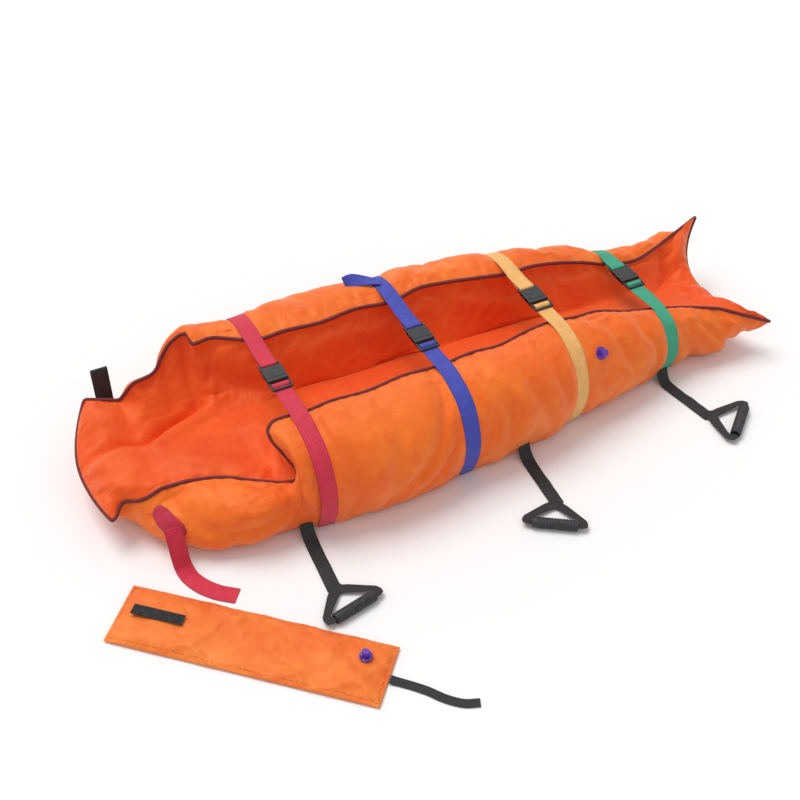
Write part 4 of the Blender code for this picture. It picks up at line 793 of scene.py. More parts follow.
def mattress_grids():
    """Outside and inside of the mattress as fine grids, head hem to foot hem."""
    head, foot = hem_curve(HEAD_HEM, HEAD_BOW), hem_curve(FOOT_HEM, FOOT_BOW)
    rows = [closing_rows(head, HEAD_CAP, k / CAP_ROWS) for k in range(CAP_ROWS)]
    for k, pair in enumerate(rows):
        step = NOTCH_DEPTH * math.exp(-((k - NOTCH_ROW) / NOTCH_SPREAD) ** 2)
        for j in range(HALF_STEPS):
            for row in pair:
                row[j, 1] += step * (1 - j / HALF_STEPS) ** 1.5
    spread = np.linspace(HEAD_CAP, FOOT_CAP, OPEN_ROWS)
    dense = np.linspace(*NOTCH_SPAN, NOTCH_ROWS)
    xs = np.sort(np.concatenate([spread[(spread < NOTCH_SPAN[0]) | (spread > NOTCH_SPAN[1])], dense]))
    rows += [(section(x, outer_half), section(x, inner_half)) for x in xs]
    rows += [closing_rows(foot, FOOT_CAP, k / CAP_ROWS, EAR_FULLNESS) for k in reversed(range(CAP_ROWS))]
    outside = np.array([widen(row[0], FINE_COLUMNS) for row in rows])
    inside = np.array([widen(row[1], FINE_COLUMNS) for row in rows])
    for border in (np.s_[0], np.s_[-1], np.s_[:, 0], np.s_[:, -1]):
        inside[border] = outside[border]
    outside[..., 2] = np.maximum(outside[..., 2], 0.0)
    return outside, inside


def closed_shell(name, outside, inside):
    """One closed mesh from two grids that share their border, with UV in metres and two materials."""
    rows, columns = outside.shape[:2]
    index_out = np.arange(rows * columns).reshape(rows, columns)
    index_in = index_out.copy()
    inner = np.zeros((rows, columns), bool)
    inner[1:-1, 1:-1] = True
    index_in[inner] = rows * columns + np.arange(inner.sum())
    verts = np.concatenate([outside.reshape(-1, 3), inside[inner]])
    faces, kinds = [], []
    for grid, flip, kind in ((index_out, True, 0), (index_in, False, 1)):
        for i in range(rows - 1):
            for j in range(columns - 1):
                face = (grid[i, j], grid[i + 1, j], grid[i + 1, j + 1], grid[i, j + 1])
                faces.append(face[::-1] if flip else face)
                kinds.append(kind)
    steps = np.linalg.norm(np.diff(outside, axis=1), axis=2)
    around = np.concatenate([np.zeros((rows, 1)), np.cumsum(steps, axis=1)], axis=1)
    around -= around[:, columns // 2][:, None]
    uvs = np.stack([verts[:, 0], np.concatenate([around.ravel(), inside[inner][:, 1]])], axis=1)
    obj = mesh_object(name, verts, faces, uvs)
    obj.data.polygons.foreach_set("material_index", kinds)
    return obj, index_out, index_in


def ring_of(grid, inset):
    """The points all round a grid of indices, this many rows and columns in."""
    grid = grid[inset:len(grid) - inset, inset:grid.shape[1] - inset]
    return list(grid[:, 0]) + list(grid[-1, 1:]) + list(grid[-2::-1, -1]) + list(grid[0, -2:0:-1])


def point_values(obj, kind="co"):
    """A mesh's points or their normals as an array."""
    values = np.zeros(len(obj.data.vertices) * 3)
    obj.data.vertices.foreach_get(kind, values)
    return values.reshape(-1, 3)


def write_coordinates(obj, points):
    """Put points back into a mesh."""
    obj.data.vertices.foreach_set("co", np.asarray(points, float).ravel())
    obj.data.update()


def line_distance(points, line):
    """Distance from points to a line of straight runs, and how far along it the nearest place is, 0 to 1."""
    best = np.full(len(points), 9.0)
    along = np.zeros(len(points))
    line = np.asarray(line, float)
    for k in range(len(line) - 1):
        a, b = line[k], line[k + 1]
        d = b - a
        t = np.clip((points - a) @ d / max(d @ d, 1e-12), 0, 1)
        gap = np.linalg.norm(points - (a + t[:, None] * d), axis=1)
        closer = gap < best
        best[closer] = gap[closer]
        along[closer] = (k + t[closer]) / (len(line) - 1)
    return best, along


# Folds that are pressed into the lying surface: line of (x, y), half width, lift
INNER_FOLDS = (
    (((-1.03, 0.06), (-0.93, 0.095), (-0.86, 0.065), (-0.80, 0.11), (-0.74, 0.135), (-0.68, 0.16),
      (-0.625, 0.21)), 0.018, -0.030),
    (((-1.00, 0.03), (-0.92, 0.045), (-0.85, 0.02), (-0.79, 0.06), (-0.73, 0.085), (-0.67, 0.11),
      (-0.62, 0.15)), 0.028, 0.024),
    (((-0.96, -0.02), (-0.86, -0.04), (-0.78, -0.04), (-0.70, -0.05), (-0.62, -0.05)), 0.085, 0.034),
    (((-0.83, -0.02), (-0.78, -0.08), (-0.70, -0.13), (-0.63, -0.19)), 0.030, 0.014),
    (((-0.66, 0.02), (-0.60, 0.00), (-0.54, -0.02)), 0.030, 0.012),
    (((-0.97, 0.20), (-0.90, 0.17), (-0.82, 0.18)), 0.040, 0.010),
    (((-0.655, 0.235), (-0.60, 0.200), (-0.55, 0.165), (-0.50, 0.130), (-0.42, 0.110)), 0.020, -0.026),
    (((-0.60, 0.235), (-0.54, 0.190), (-0.47, 0.150)), 0.024, 0.020),
    (((-0.42, 0.095), (-0.20, 0.085), (0.00, 0.085), (0.25, 0.075), (0.50, 0.070), (0.70, 0.060)), 0.022,
     -0.016),
    (((-0.45, 0.02), (-0.30, 0.00), (-0.12, -0.01)), 0.050, 0.014),
    (((0.00, 0.00), (0.12, 0.01), (0.26, -0.01)), 0.045, 0.012),
    (((0.34, 0.00), (0.48, -0.01), (0.62, 0.00)), 0.040, 0.010),
    (((-0.36, 0.15), (-0.33, 0.10)), 0.020, 0.012),
    (((-0.22, 0.14), (-0.17, 0.09)), 0.018, 0.012),
    (((0.06, 0.14), (0.09, 0.09)), 0.018, 0.012),
    (((0.42, 0.11), (0.46, 0.07)), 0.016, 0.010),
    (((0.74, 0.02), (0.82, 0.05), (0.92, 0.13)), 0.022, -0.014),
    (((0.72, -0.06), (0.82, -0.04), (0.92, -0.03)), 0.030, 0.012),
)
FOLD_DEPTH = 1.3
FOLD_ENDS = (0.12, 0.15)     # where along its line a fold starts, on the lying surface and on the wall
NEAR_WALL_Y = -0.10          # the near wall lies beyond this
# Folds of the near wall: line of (x, z), half width, lift before it is multiplied by the fold depth
NEAR_FOLDS = (
    (((-0.86, 0.12), (-0.78, 0.085), (-0.68, 0.09), (-0.60, 0.12)), 0.022, -0.016),
    (((-0.84, 0.05), (-0.74, 0.035), (-0.64, 0.05)), 0.020, 0.010),
    (((-0.74, 0.13), (-0.68, 0.125), (-0.62, 0.14)), 0.016, 0.008),
    (((-0.585, 0.26), (-0.56, 0.20), (-0.565, 0.13), (-0.60, 0.05)), 0.013, -0.015),
    (((-0.552, 0.25), (-0.540, 0.17), (-0.55, 0.09)), 0.014, 0.010),
    (((-0.545, 0.10), (-0.580, 0.04)), 0.012, -0.008),
    (((-0.44, 0.28), (-0.41, 0.20), (-0.42, 0.12), (-0.44, 0.06)), 0.020, -0.010),
    (((-0.36, 0.24), (-0.34, 0.16), (-0.37, 0.08)), 0.024, 0.010),
    (((-0.12, 0.28), (-0.18, 0.19), (-0.26, 0.11), (-0.34, 0.05)), 0.020, -0.018),
    (((-0.09, 0.25), (-0.13, 0.16), (-0.20, 0.08), (-0.25, 0.04)), 0.013, -0.013),
    (((-0.16, 0.20), (-0.22, 0.12), (-0.29, 0.06)), 0.014, 0.008),
    (((-0.28, 0.26), (-0.30, 0.18), (-0.35, 0.12)), 0.024, -0.009),
    (((-0.03, 0.27), (-0.01, 0.20), (-0.03, 0.12)), 0.014, -0.009),
    (((0.02, 0.28), (0.06, 0.20), (0.05, 0.12)), 0.016, -0.011),
    (((0.09, 0.24), (0.11, 0.16), (0.10, 0.08)), 0.018, 0.007),
    (((0.12, 0.27), (0.16, 0.18), (0.20, 0.10)), 0.015, -0.010),
    (((0.20, 0.28), (0.23, 0.21), (0.25, 0.13)), 0.013, -0.011),
    (((0.26, 0.26), (0.265, 0.19), (0.26, 0.12)), 0.010, 0.007),
    (((0.335, 0.27), (0.365, 0.22), (0.40, 0.17)), 0.011, -0.012),
    (((0.36, 0.27), (0.41, 0.235)), 0.010, -0.010),
    (((0.45, 0.23), (0.50, 0.15), (0.58, 0.10)), 0.020, -0.009),
    (((0.56, 0.21), (0.60, 0.16), (0.61, 0.08)), 0.014, -0.008),
    (((0.70, 0.17), (0.73, 0.11), (0.77, 0.04)), 0.012, -0.013),
    (((0.73, 0.16), (0.78, 0.10), (0.83, 0.04)), 0.011, -0.011),
    (((0.78, 0.16), (0.84, 0.10), (0.90, 0.05)), 0.012, -0.012),
    (((0.84, 0.15), (0.90, 0.10), (0.95, 0.07)), 0.011, -0.010),
)


def fold_strength(points, line, width, ends):
    """How strongly a fold acts on each point: a soft ridge that dies out towards both ends of its line."""
    gap, along = line_distance(points, line)
    return np.exp(-(gap / width) ** 2) * np.sin(np.pi * np.clip(ends + (1 - 2 * ends) * along, 0, 1))


def press_folds(points, normals, inner, held):
    """Press the drawn folds into the mattress, sparing the places that are held."""
    moved = points.copy()
    for line, width, lift in INNER_FOLDS:
        moved[:, 2] += lift * fold_strength(points[:, :2], line, width, FOLD_ENDS[0]) * inner
    near = (~inner.astype(bool)) & (points[:, 1] < NEAR_WALL_Y)
    for line, width, lift in NEAR_FOLDS:
        strength = fold_strength(points[:, (0, 2)], line, width, FOLD_ENDS[1]) * near
        moved += normals * (FOLD_DEPTH * lift * strength)[:, None]
    return points + (moved - points) * (1 - held)[:, None]


def held_weight(points, outside_part):
    """How firmly each point is held while the cloth settles, from 0 to 1."""
    weight = np.zeros(len(points))
    for _, x, _ in STRAPS:
        gap = np.abs(points[:, 0] - x)
        weight = np.maximum(weight, np.clip(1 - (gap - WEB_WIDTH / 2 - 0.005) / 0.010, 0, 1) * outside_part)
    weight = np.maximum(weight, np.clip(1 - (points[:, 2] - 0.002) / 0.006, 0, 1) * outside_part)
    y, z, size = HANDLE_HELD
    handles = [((root_x, side * y, z), size) for _, root_x, _, _, side, _ in HANDLES]
    for spot, radius in (*HELD_SPOTS, *handles):
        gap = np.linalg.norm(points - np.array(spot), axis=1)
        weight = np.maximum(weight, np.clip(1.6 - gap / radius, 0, 1) * outside_part)
    return weight


def settle_cloth(obj, held, most, frames, pressure, grow, bend):
    """Let the fabric settle with air-like pressure inside, and keep each point within its reach."""
    rest = point_values(obj)
    group = obj.vertex_groups.new(name="held")
    for level in range(HELD_LEVELS + 1):
        chosen = np.nonzero(np.round(held * HELD_LEVELS).astype(int) == level)[0]
        if len(chosen):
            group.add([int(k) for k in chosen], level / HELD_LEVELS, "REPLACE")
    modifier = obj.modifiers.new("settle", "CLOTH")
    values = {"quality": 4, "mass": 0.25, "tension_stiffness": 18, "compression_stiffness": 18,
              "shear_stiffness": 6, "bending_stiffness": bend, "use_pressure": True,
              "uniform_pressure_force": pressure, "vertex_group_mass": "held", "shrink_min": -grow}
    for key, value in values.items():
        setattr(modifier.settings, key, value)
    modifier.settings.effector_weights.gravity = 0
    modifier.collision_settings.use_collision = False
    modifier.point_cache.frame_start = 1
    modifier.point_cache.frame_end = frames
    for step in range(1, frames + 1):
        bpy.context.scene.frame_set(step)
    settled = point_values(obj.evaluated_get(bpy.context.evaluated_depsgraph_get()))
    obj.modifiers.remove(modifier)
    bpy.context.scene.frame_set(1)
    move = settled - rest
    size = np.linalg.norm(move, axis=1)
    reach = most * (1 - held)
    keep = np.where(size > 1e-9, np.tanh(size / np.maximum(reach, 1e-6)) * reach / np.maximum(size, 1e-9), 0)
    write_coordinates(obj, rest + move * keep[:, None])
    obj.vertex_groups.clear()


def subdivide(obj):
    """Apply a subdivision surface."""
    modifier = obj.modifiers.new("soften", "SUBSURF")
    modifier.levels = modifier.render_levels = 1
    make_active(obj)
    bpy.ops.object.modifier_apply(modifier="soften")


SEAM_LINE = []               # the mattress's border, filled by the mattress operator


def surface_tree(obj):
    """A search tree of a piece's faces."""
    points = [v.co.copy() for v in obj.data.vertices]
    return BVHTree.FromPolygons(points, [tuple(p.vertices) for p in obj.data.polygons])


def thread_run(verts, faces, ends, side, inset, rise):
    """One raised run of thread between two points, narrower and shorter on top."""
    base = len(verts)
    a, b = ends
    verts += [a - side, a + side, b + side, b - side]
    verts += [a - side * 0.5 + inset + rise, a + side * 0.5 + inset + rise,
              b + side * 0.5 - inset + rise, b - side * 0.5 - inset + rise]
    faces += [(base, base + 3, base + 2, base + 1), (base + 4, base + 5, base + 6, base + 7)]
    faces += [(base + k, base + (k + 1) % 4, base + 4 + (k + 1) % 4, base + 4 + k) for k in range(4)]


def sew(name, points, tree, body):
    """A sewn line of raised thread runs on a surface."""
    pts = np.asarray(points, float)
    along = run_length(pts)
    verts, faces = [], []
    for mark in np.arange(0, along[-1] - THREAD_RUN, THREAD_PITCH):
        ends = [Vector(p) for p in even_line(pts, along, (mark, mark + THREAD_RUN))]
        (a, up, _, _), (b, _, _, _) = tree.find_nearest(ends[0]), tree.find_nearest(ends[1])
        way = b - a
        if way.length < THREAD_RUN * 0.3:
            continue
        way.normalize()
        side = up.cross(way) * THREAD_HALF
        thread_run(verts, faces, (a, b), side, way * THREAD_RUN * 0.2, up * THREAD_HALF)
    return finish_piece(mesh_object(name, verts, faces), "thread", body)


def sewn_patch(name, tree):
    """A rounded patch of webbing on the near wall."""
    grid = np.zeros((PATCH_STEPS, PATCH_STEPS, 3))
    raised = grid.copy()
    for i, u in enumerate(np.linspace(-1, 1, PATCH_STEPS)):
        for j, v in enumerate(np.linspace(-1, 1, PATCH_STEPS)):
            a, b = u * math.sqrt(1 - v * v / 2), v * math.sqrt(1 - u * u / 2)
            start = Vector((PATCH_SPOT[0] + a * PATCH_HALF[0], -0.6, PATCH_SPOT[1] + b * PATCH_HALF[1]))
            hit, up, _, _ = tree.ray_cast(start, Vector((0, 1, 0)))
            grid[i, j] = hit + up * PATCH_LIFT
            raised[i, j] = hit + up * (PATCH_LIFT + WEB_THICK)
    patch, _, _ = closed_shell(name, grid, raised)
    patch.data.polygons.foreach_set("material_index", [0] * len(patch.data.polygons))
    return finish_piece(patch, "red webbing", "root")


class STRETCHER_OT_mattress(bpy.types.Operator):
    """Make the mattress body: a bead-filled shell of two coated panels, folded up at its sides"""
    bl_idname = "stretcher.mattress"
    bl_label = "Mattress"

    def execute(self, context):
        outside, inside = mattress_grids()
        obj, index_out, index_in = closed_shell("mattress_body", outside, inside)
        points = point_values(obj)
        inner = np.zeros(len(points))
        inner[np.setdiff1d(index_in.ravel(), index_out.ravel())] = 1.0
        held = held_weight(points, 1 - inner)
        for grid in (index_out, index_in):
            for j in range(SEAM_EASE):
                beside = np.concatenate([grid[j], grid[-1 - j], grid[:, j], grid[:, -1 - j]])
                held[beside] = np.maximum(held[beside], 1 - j / SEAM_EASE)
        write_coordinates(obj, press_folds(points, point_values(obj, "normal"), inner, held))
        settle_cloth(obj, held, **MATTRESS_CLOTH)
        points = point_values(obj)
        points[:, 2] = np.maximum(points[:, 2], FLOOR_CLEAR)
        write_coordinates(obj, points)
        SEAM_LINE[:] = [tuple(points[k]) for k in ring_of(index_out, 0)]
        sewn = [tuple(points[k]) for k in ring_of(index_out, 1)]
        subdivide(obj)
        obj.data.materials.append(material_of("coated nylon outside"))
        # second material: the lying surface, darker and redder as painted shade inside the trough
        obj.data.materials.append(material_of("coated nylon lying surface"))
        finish_piece(obj, None, "root", ["base_panel", "inner_panel", "bead_fill"])
        tree = surface_tree(obj)
        sew("mattress_seam_stitches", sewn + sewn[:1], tree, "root")
        sewn_patch("head_strap_patch", tree)
        return {"FINISHED"}


class STRETCHER_OT_piping(bpy.types.Operator):
    """Make the edge piping: a corded tape sewn all round the seam of the two panels"""
    bl_idname = "stretcher.piping"
    bl_label = "Edge piping"

    def execute(self, context):
        closed = np.array(SEAM_LINE + SEAM_LINE[:1])
        run = run_length(closed)
        path = even_line(closed, run, np.linspace(0, run[-1], int(run[-1] / PIPING_STEP), endpoint=False))
        for _ in range(2):
            path = (np.roll(path, 1, 0) + 2 * path + np.roll(path, -1, 0)) / 4
        obj = tube("edge_piping_cord", path, PIPING_RADIUS, PIPING_SIDES)
        finish_piece(obj, "piping tape", "root", ["edge_piping"])
        return {"FINISHED"}


# Webbing on the mattress

def strap_frame(name, x, mouth):
    """A buckle's frame, read from its socket: local +Y goes into the socket, +Z is up."""
    low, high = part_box(name + "_socket")
    near, far = section_crest(x, -1), section_crest(x, 1)
    slope = math.atan2(far[2] - near[2], far[1] - near[1])
    place = Vector((x, mouth, (low.z + high.z) / 2))
    middle = place.y + math.cos(slope) * (SOCKET_DEPTH + BAR_SLOT + BAR) / 2
    place.z -= math.sin(slope) * (middle - place.y)
    return Matrix.Translation(place) @ Matrix.Rotation(slope, 4, "X")


def section_crest(x, side):
    """The crest of the mattress at x on one side."""
    row = section(x, outer_half)
    return row[2] if side < 0 else row[-3]


def wall_line(x, side):
    """The outside of the mattress at x from low on the wall up to the crest, as a smooth line."""
    fine = widen(section(x, outer_half), 2 * HALF_STEPS * WALL_CELL + 1)
    return fine[::-side][2 * WALL_CELL:int(WALL_FOOT * WALL_CELL) + 1][::-1]


def round_bars(side):
    """The webbing's way to a buckle and round its bars, as (y, z) in the buckle's frame."""
    clear = FRAME_HEIGHT / 2 + GAP + WEB_THICK / 2
    if side > 0:
        slot = SOCKET_DEPTH + BAR_SLOT
        return [(slot + BAR + 0.034, 0.0008), (slot + BAR + 0.008, clear * 0.8), (slot + BAR / 2, clear),
                (slot - 0.0016, clear * 0.45), (slot - 0.0018, -clear * 0.45), (slot + BAR / 2, -clear),
                (slot + BAR + 0.030, -clear - 0.0006)]
    back = -PLUG_BLOCK - PLUG_FRAME
    slot_a = back + BAR + BAR_SLOT / 2
    slot_b = back + 2 * BAR + BAR_SLOT * 1.5
    bar = back + BAR + BAR_SLOT + BAR / 2
    return [(back - 0.034, -0.0012), (back - 0.008, -clear), (back + BAR * 0.5, -clear),
            (slot_a - 0.001, -clear * 0.5), (slot_a + 0.001, clear * 0.5), (bar, clear),
            (slot_b - 0.0016, clear * 0.5), (slot_b - 0.0012, -clear * 0.6), (bar, -clear - 0.0004),
            (slot_a, -clear - 0.0020)]


class STRETCHER_OT_straps(bpy.types.Operator):
    """Make the four coloured straps: webbing over the wall and crest, round the buckle's bars"""
    bl_idname = "stretcher.straps"
    bl_label = "Straps"

    def execute(self, context):
        for name, x, mouth in STRAPS:
            holder = strap_frame(name, x, mouth)
            for side, word in ((-1, "near"), (1, "far")):
                wall = wall_line(x, side)
                normal = unit(np.cross(np.gradient(wall, axis=0), (side * -1.0, 0.0, 0.0)))
                if normal[len(normal) // 2, 1] * side < 0:
                    normal = -normal
                wall = wall + normal * (WEB_LIFT + WEB_THICK / 2)
                lean = wall_line(x + WEB_WIDTH / 2, side) - wall_line(x - WEB_WIDTH / 2, side)
                lean[:, 1] *= 0.5
                on_bars = [np.array(holder @ Vector((0.0, y, z))) for y, z in round_bars(side)]
                points = np.vstack([wall[::WALL_SKIP], on_bars])
                across = np.vstack([unit(lean)[::WALL_SKIP], np.tile((1.0, 0.0, 0.0), (len(on_bars), 1))])
                both = smooth_line(np.hstack([points, across]), STRAP_POINTS)
                obj = webbing(f"{name}_strap_{word}", both[:, :3], both[:, 3:], WEB_WIDTH)
                finish_piece(obj, f"{name} webbing", "root" if side > 0 else None,
                             [f"{name}_{word}_web"])
                if side < 0:
                    start = section_crest(x, -1)[1] + WEB_TURN
                    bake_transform(obj)
        return {"FINISHED"}


class STRETCHER_OT_free_tail(bpy.types.Operator):
    """Make the blue strap's free tail, which lies twisted on the far crest"""
    bl_idname = "stretcher.free_tail"
    bl_label = "Free tail"

    def execute(self, context):
        line = smooth_line(TAIL_ROUTE, TAIL_POINTS)
        turn = np.linspace(0, 1, TAIL_POINTS)[:, None] ** 1.5
        across = np.array(TAIL_TWIST[0]) * (1 - turn) + np.array(TAIL_TWIST[1]) * turn
        tail = webbing("blue_strap_tail", line, across, WEB_WIDTH * TAIL_WIDTH)
        finish_piece(tail, "blue webbing", "root")
        return {"FINISHED"}


class STRETCHER_OT_buckles(bpy.types.Operator):
    """Finish the moulded buckles: sockets, plugs and release arms"""
    bl_idname = "stretcher.buckles"
    bl_label = "Buckles"

    def execute(self, context):
        for name, _, _ in STRAPS:
            for part in ("socket", "plug", "right_arm", "left_arm"):
                dress_node(f"{name}_{part}", "moulded nylon black")
        return {"FINISHED"}


def dress_node(node, mat):
    """A procedural material on a solid that stays."""
    obj = NODES[node]
    obj.data.materials.clear()
    obj.data.materials.append(material_of(mat))


# Carry handles

def joint_place(name):
    """Where a joint is, in metres."""
    joints = {j["name"]: j for j in frame["record"]["behaviour"]["joints"]}
    return tuple(joints[name]["pos_m"])


def handle_frames(name, root_x, heading, turn, side, folded):
    """Root, level and loop frames of a handle, from the joints of its solids."""
    root_y = joint_place(f"{name}_handle_lift")[1]
    root = Matrix.Translation((root_x, root_y, 0.0)) @ Matrix.Rotation(math.pi if side < 0 else 0.0, 4, "Z")
    level = Matrix.Translation((0, HANDLE_BEND, 0)) @ Matrix.Rotation(math.radians(heading), 4, "Z")
    stack = HANDLE_THICK + GAP / 2 if folded else 2 * (HANDLE_THICK + GAP)
    hinge = root @ level @ Matrix.Translation((0, HANDLE_REACH - HANDLE_BEND, stack))
    under = HANDLE_THICK / 2 + (GAP / 2 if folded else GAP)
    rest = GRIP_RADIUS + GAP - stack
    if folded:
        tilt = math.pi - math.asin((rest + HANDLE_THICK - under) / LOOP_DEPTH)
    else:
        tilt = math.asin((rest + under) / LOOP_DEPTH)
    swing = Matrix.Rotation(math.radians(turn), 4, "Z") @ Matrix.Rotation(tilt, 4, "X")
    return root, level, hinge @ swing @ Matrix.Translation((0, 0, -under))


def flat_ring(name, outer, inner, thick, matrix):
    """A flat closed webbing loop between two outlines of equal count, with soft edges and UV along it."""
    outer, inner = np.asarray(outer, float), np.asarray(inner, float)
    tall = thick / 2
    cross = [(0.0, 0.0), (0.05, tall * 0.8), (0.14, tall), (0.5, tall * 1.03), (0.86, tall),
             (0.95, tall * 0.8), (1.0, 0.0), (0.95, -tall * 0.8), (0.86, -tall), (0.5, -tall),
             (0.14, -tall), (0.05, -tall * 0.8)]
    verts, uvs = [], []
    for far, near, s in zip(outer, inner, run_length((outer + inner) / 2)):
        for share, z in cross:
            verts.append(matrix @ Vector((*(near + (far - near) * share), z)))
            uvs.append(((share - 0.5) * np.linalg.norm(far - near), s))
    return mesh_object(name, verts, skin(len(outer), len(cross), closed=True), uvs)


def loop_outlines():
    """Rounded outer and inner outlines of the webbing loop, point for point."""
    bar_y, half_bar, grip = LOOP_DEPTH, LOOP_BAR / 2, GRIP_LENGTH / 2
    neck = HANDLE_WIDTH / 2
    corner = grip + LOOP_ARM
    outer = [(0.0, GAP), (neck - 0.003, GAP), (neck, 0.003), (neck + 0.001, 0.010), (neck + 0.014, 0.020),
             (corner + 0.001, bar_y - 0.024), (corner + 0.006, bar_y - 0.010),
             (corner + 0.004, bar_y + 0.004), (corner - 0.008, bar_y + half_bar), (grip, bar_y + half_bar),
             (0.0, bar_y + half_bar)]
    inner = [(0.0, 0.034), (0.002, 0.0342), (0.005, 0.0350), (0.007, 0.0365), (0.016, 0.043),
             (grip - 0.004, bar_y - GRIP_RADIUS - 0.006), (grip + 0.001, bar_y - GRIP_RADIUS),
             (grip + 0.0016, bar_y - half_bar - 0.002), (grip + 0.0014, bar_y - half_bar),
             (grip, bar_y - half_bar), (0.0, bar_y - half_bar)]
    both = []
    for half in (outer, inner):
        line = np.array(half)
        fine = even_line(line, np.arange(len(line)), np.arange(4 * len(line) - 3) / 4)
        mirrored = fine[-2:0:-1] * (-1, 1)
        both.append(np.vstack([fine, mirrored]))
    return both


def lathe(name, profile, steps, matrix):
    """A turned shape about local +Z: a closed profile spun round and placed."""
    verts = []
    for angle in np.linspace(0, math.tau, steps, endpoint=False):
        verts += [matrix @ Vector((r * math.cos(angle), r * math.sin(angle), z)) for r, z in profile]
    obj = mesh_object(name, verts, skin(steps, len(profile), closed=True))
    make_active(obj)
    bpy.ops.object.shade_smooth_by_angle(angle=math.radians(40))
    return obj


def grip_profile():
    """Half section of a grip: rounded ends, a soft swell and shallow finger rings, then its bore."""
    half = GRIP_LENGTH / 2 - GAP
    bore = LOOP_BAR / 2 + 0.0012
    rise = [(GRIP_RADIUS - 0.0030, -half), (GRIP_RADIUS - 0.0008, -half + 0.0012),
            (GRIP_RADIUS, -half + 0.0035)]
    points = [(bore, -half)] + rise
    for k in range(GRIP_RINGS):
        z0, z1 = (-half + 0.010 + (2 * half - 0.020) * ring / GRIP_RINGS for ring in (k, k + 1))
        points += [(GRIP_RADIUS - 0.0012, z0), (GRIP_RADIUS - 0.0001, z0 + (z1 - z0) * 0.25),
                   (GRIP_RADIUS - 0.0001, z0 + (z1 - z0) * 0.75)]
    points += [(GRIP_RADIUS - 0.0012, half - 0.010)] + [(r, -z) for r, z in reversed(rise)]
    return points + [(bore, half)]


def stitch_box(name, matrix, body):
    """A sewn box with a cross, as raised thread: short runs along its lines."""
    a, b = LOOP_BOX[0] / 2, LOOP_BOX[1] / 2
    corners = [np.array((x, y, 0.0)) for x, y in ((-a, -b), (a, -b), (a, b), (-a, b))]
    verts, faces = [], []
    for first, last in ((0, 1), (1, 2), (2, 3), (3, 0), (0, 2), (1, 3)):
        p, q = corners[first], corners[last]
        size = np.linalg.norm(q - p)
        way = (q - p) / size
        side = np.array((-way[1], way[0], 0.0)) * BOX_THREAD
        at = BOX_START
        while at + BOX_RUN < size:
            ends = (p + way * at, p + way * (at + BOX_RUN))
            thread_run(verts, faces, ends, side, way * BOX_RUN * 0.22, np.array((0.0, 0.0, BOX_RISE)))
            at += BOX_RUN + BOX_SKIP
    obj = mesh_object(name, [matrix @ Vector(v) for v in verts], faces)
    return finish_piece(obj, "black thread", body)


class STRETCHER_OT_handles(bpy.types.Operator):
    """Make the carry handles: sewn strap, triangular webbing loop and soft grip"""
    bl_idname = "stretcher.handles"
    bl_label = "Carry handles"

    def execute(self, context):
        lie_along_x = Matrix.Translation((0, LOOP_DEPTH, 0)) @ Matrix.Rotation(math.pi / 2, 4, "Y")
        outer, inner = loop_outlines()
        for handle in HANDLES:
            name, folded = handle[0], handle[-1]
            root, level, swing = handle_frames(*handle)
            end = HANDLE_REACH - HANDLE_BEND + (-GAP if folded else HANDLE_LAP)
            drop = ((0, 1), (0.004, 0.72), (0.014, 0.34), (HANDLE_BEND, 0.10))
            route = [Vector((0, y, HANDLE_ROOT_HEIGHT * share)) for y, share in drop]
            route += [level @ Vector((0, y, 0)) for y in (HANDLE_DROP, end * 0.6, end)]
            line = smooth_line([np.array(root @ p) for p in route], 60)
            run = np.linalg.norm(line - line[0], axis=1)
            waves = np.sin(run * 60) ** 2 * np.clip(run / 0.05 - 1, 0, 1) * np.clip((0.19 - run) / 0.03, 0, 1)
            line[:, 2] += HANDLE_THICK / 2 + FLOOR_CLEAR
            line[:, 2] += HANDLE_WAVE * waves
            first = np.array(root.to_3x3() @ Vector((1, 0, 0)))
            second = np.array((root @ level).to_3x3() @ Vector((1, 0, 0)))
            share = np.clip(run / 0.06, 0, 1)[:, None]
            across = first * (1 - share) + second * share
            strap = webbing(f"{name}_carry_strap", line, across, HANDLE_WIDTH, HANDLE_THICK)
            loop = flat_ring(f"{name}_carry_loop", outer, inner, HANDLE_THICK, swing)
            grip = lathe(f"{name}_carry_grip", grip_profile(), GRIP_SIDES, swing @ lie_along_x)
            for obj, mat, part, slot in ((strap, "black webbing", "strap", "black_web"),
                                         (loop, "black webbing", "loop", "black_web"),
                                         (grip, "soft vinyl grip", "grip", "grip")):
                finish_piece(obj, mat, f"{name}_handle_{part}", [f"{name}_handle_{part}"])
            sewn = swing @ Matrix.Translation((0, BOX_SPOT, HANDLE_THICK / 2))
            stitch_box(f"{name}_loop_stitches", sewn, f"{name}_handle_loop")
        return {"FINISHED"}


# Valves

class STRETCHER_OT_valves(bpy.types.Operator):
    """Finish both valves: moulded nozzle, pull-off cap, tether and the filter behind"""
    bl_idname = "stretcher.valves"
    bl_label = "Valves"

    def execute(self, context):
        for prefix in ("mattress", "splint"):
            for part in ("nozzle", "cap", "tether"):
                dress_node(f"{prefix}_valve_{part}", "moulded plastic purple")
            dress_node(f"{prefix}_valve_filter", "filter foam")
        return {"FINISHED"}


# Splint

def splint_frame():
    """The splint's own frame: +X along it, +Z up."""
    return Matrix.Translation(SPLINT_CENTRE) @ Matrix.Rotation(math.radians(SPLINT_TURN), 4, "Z")


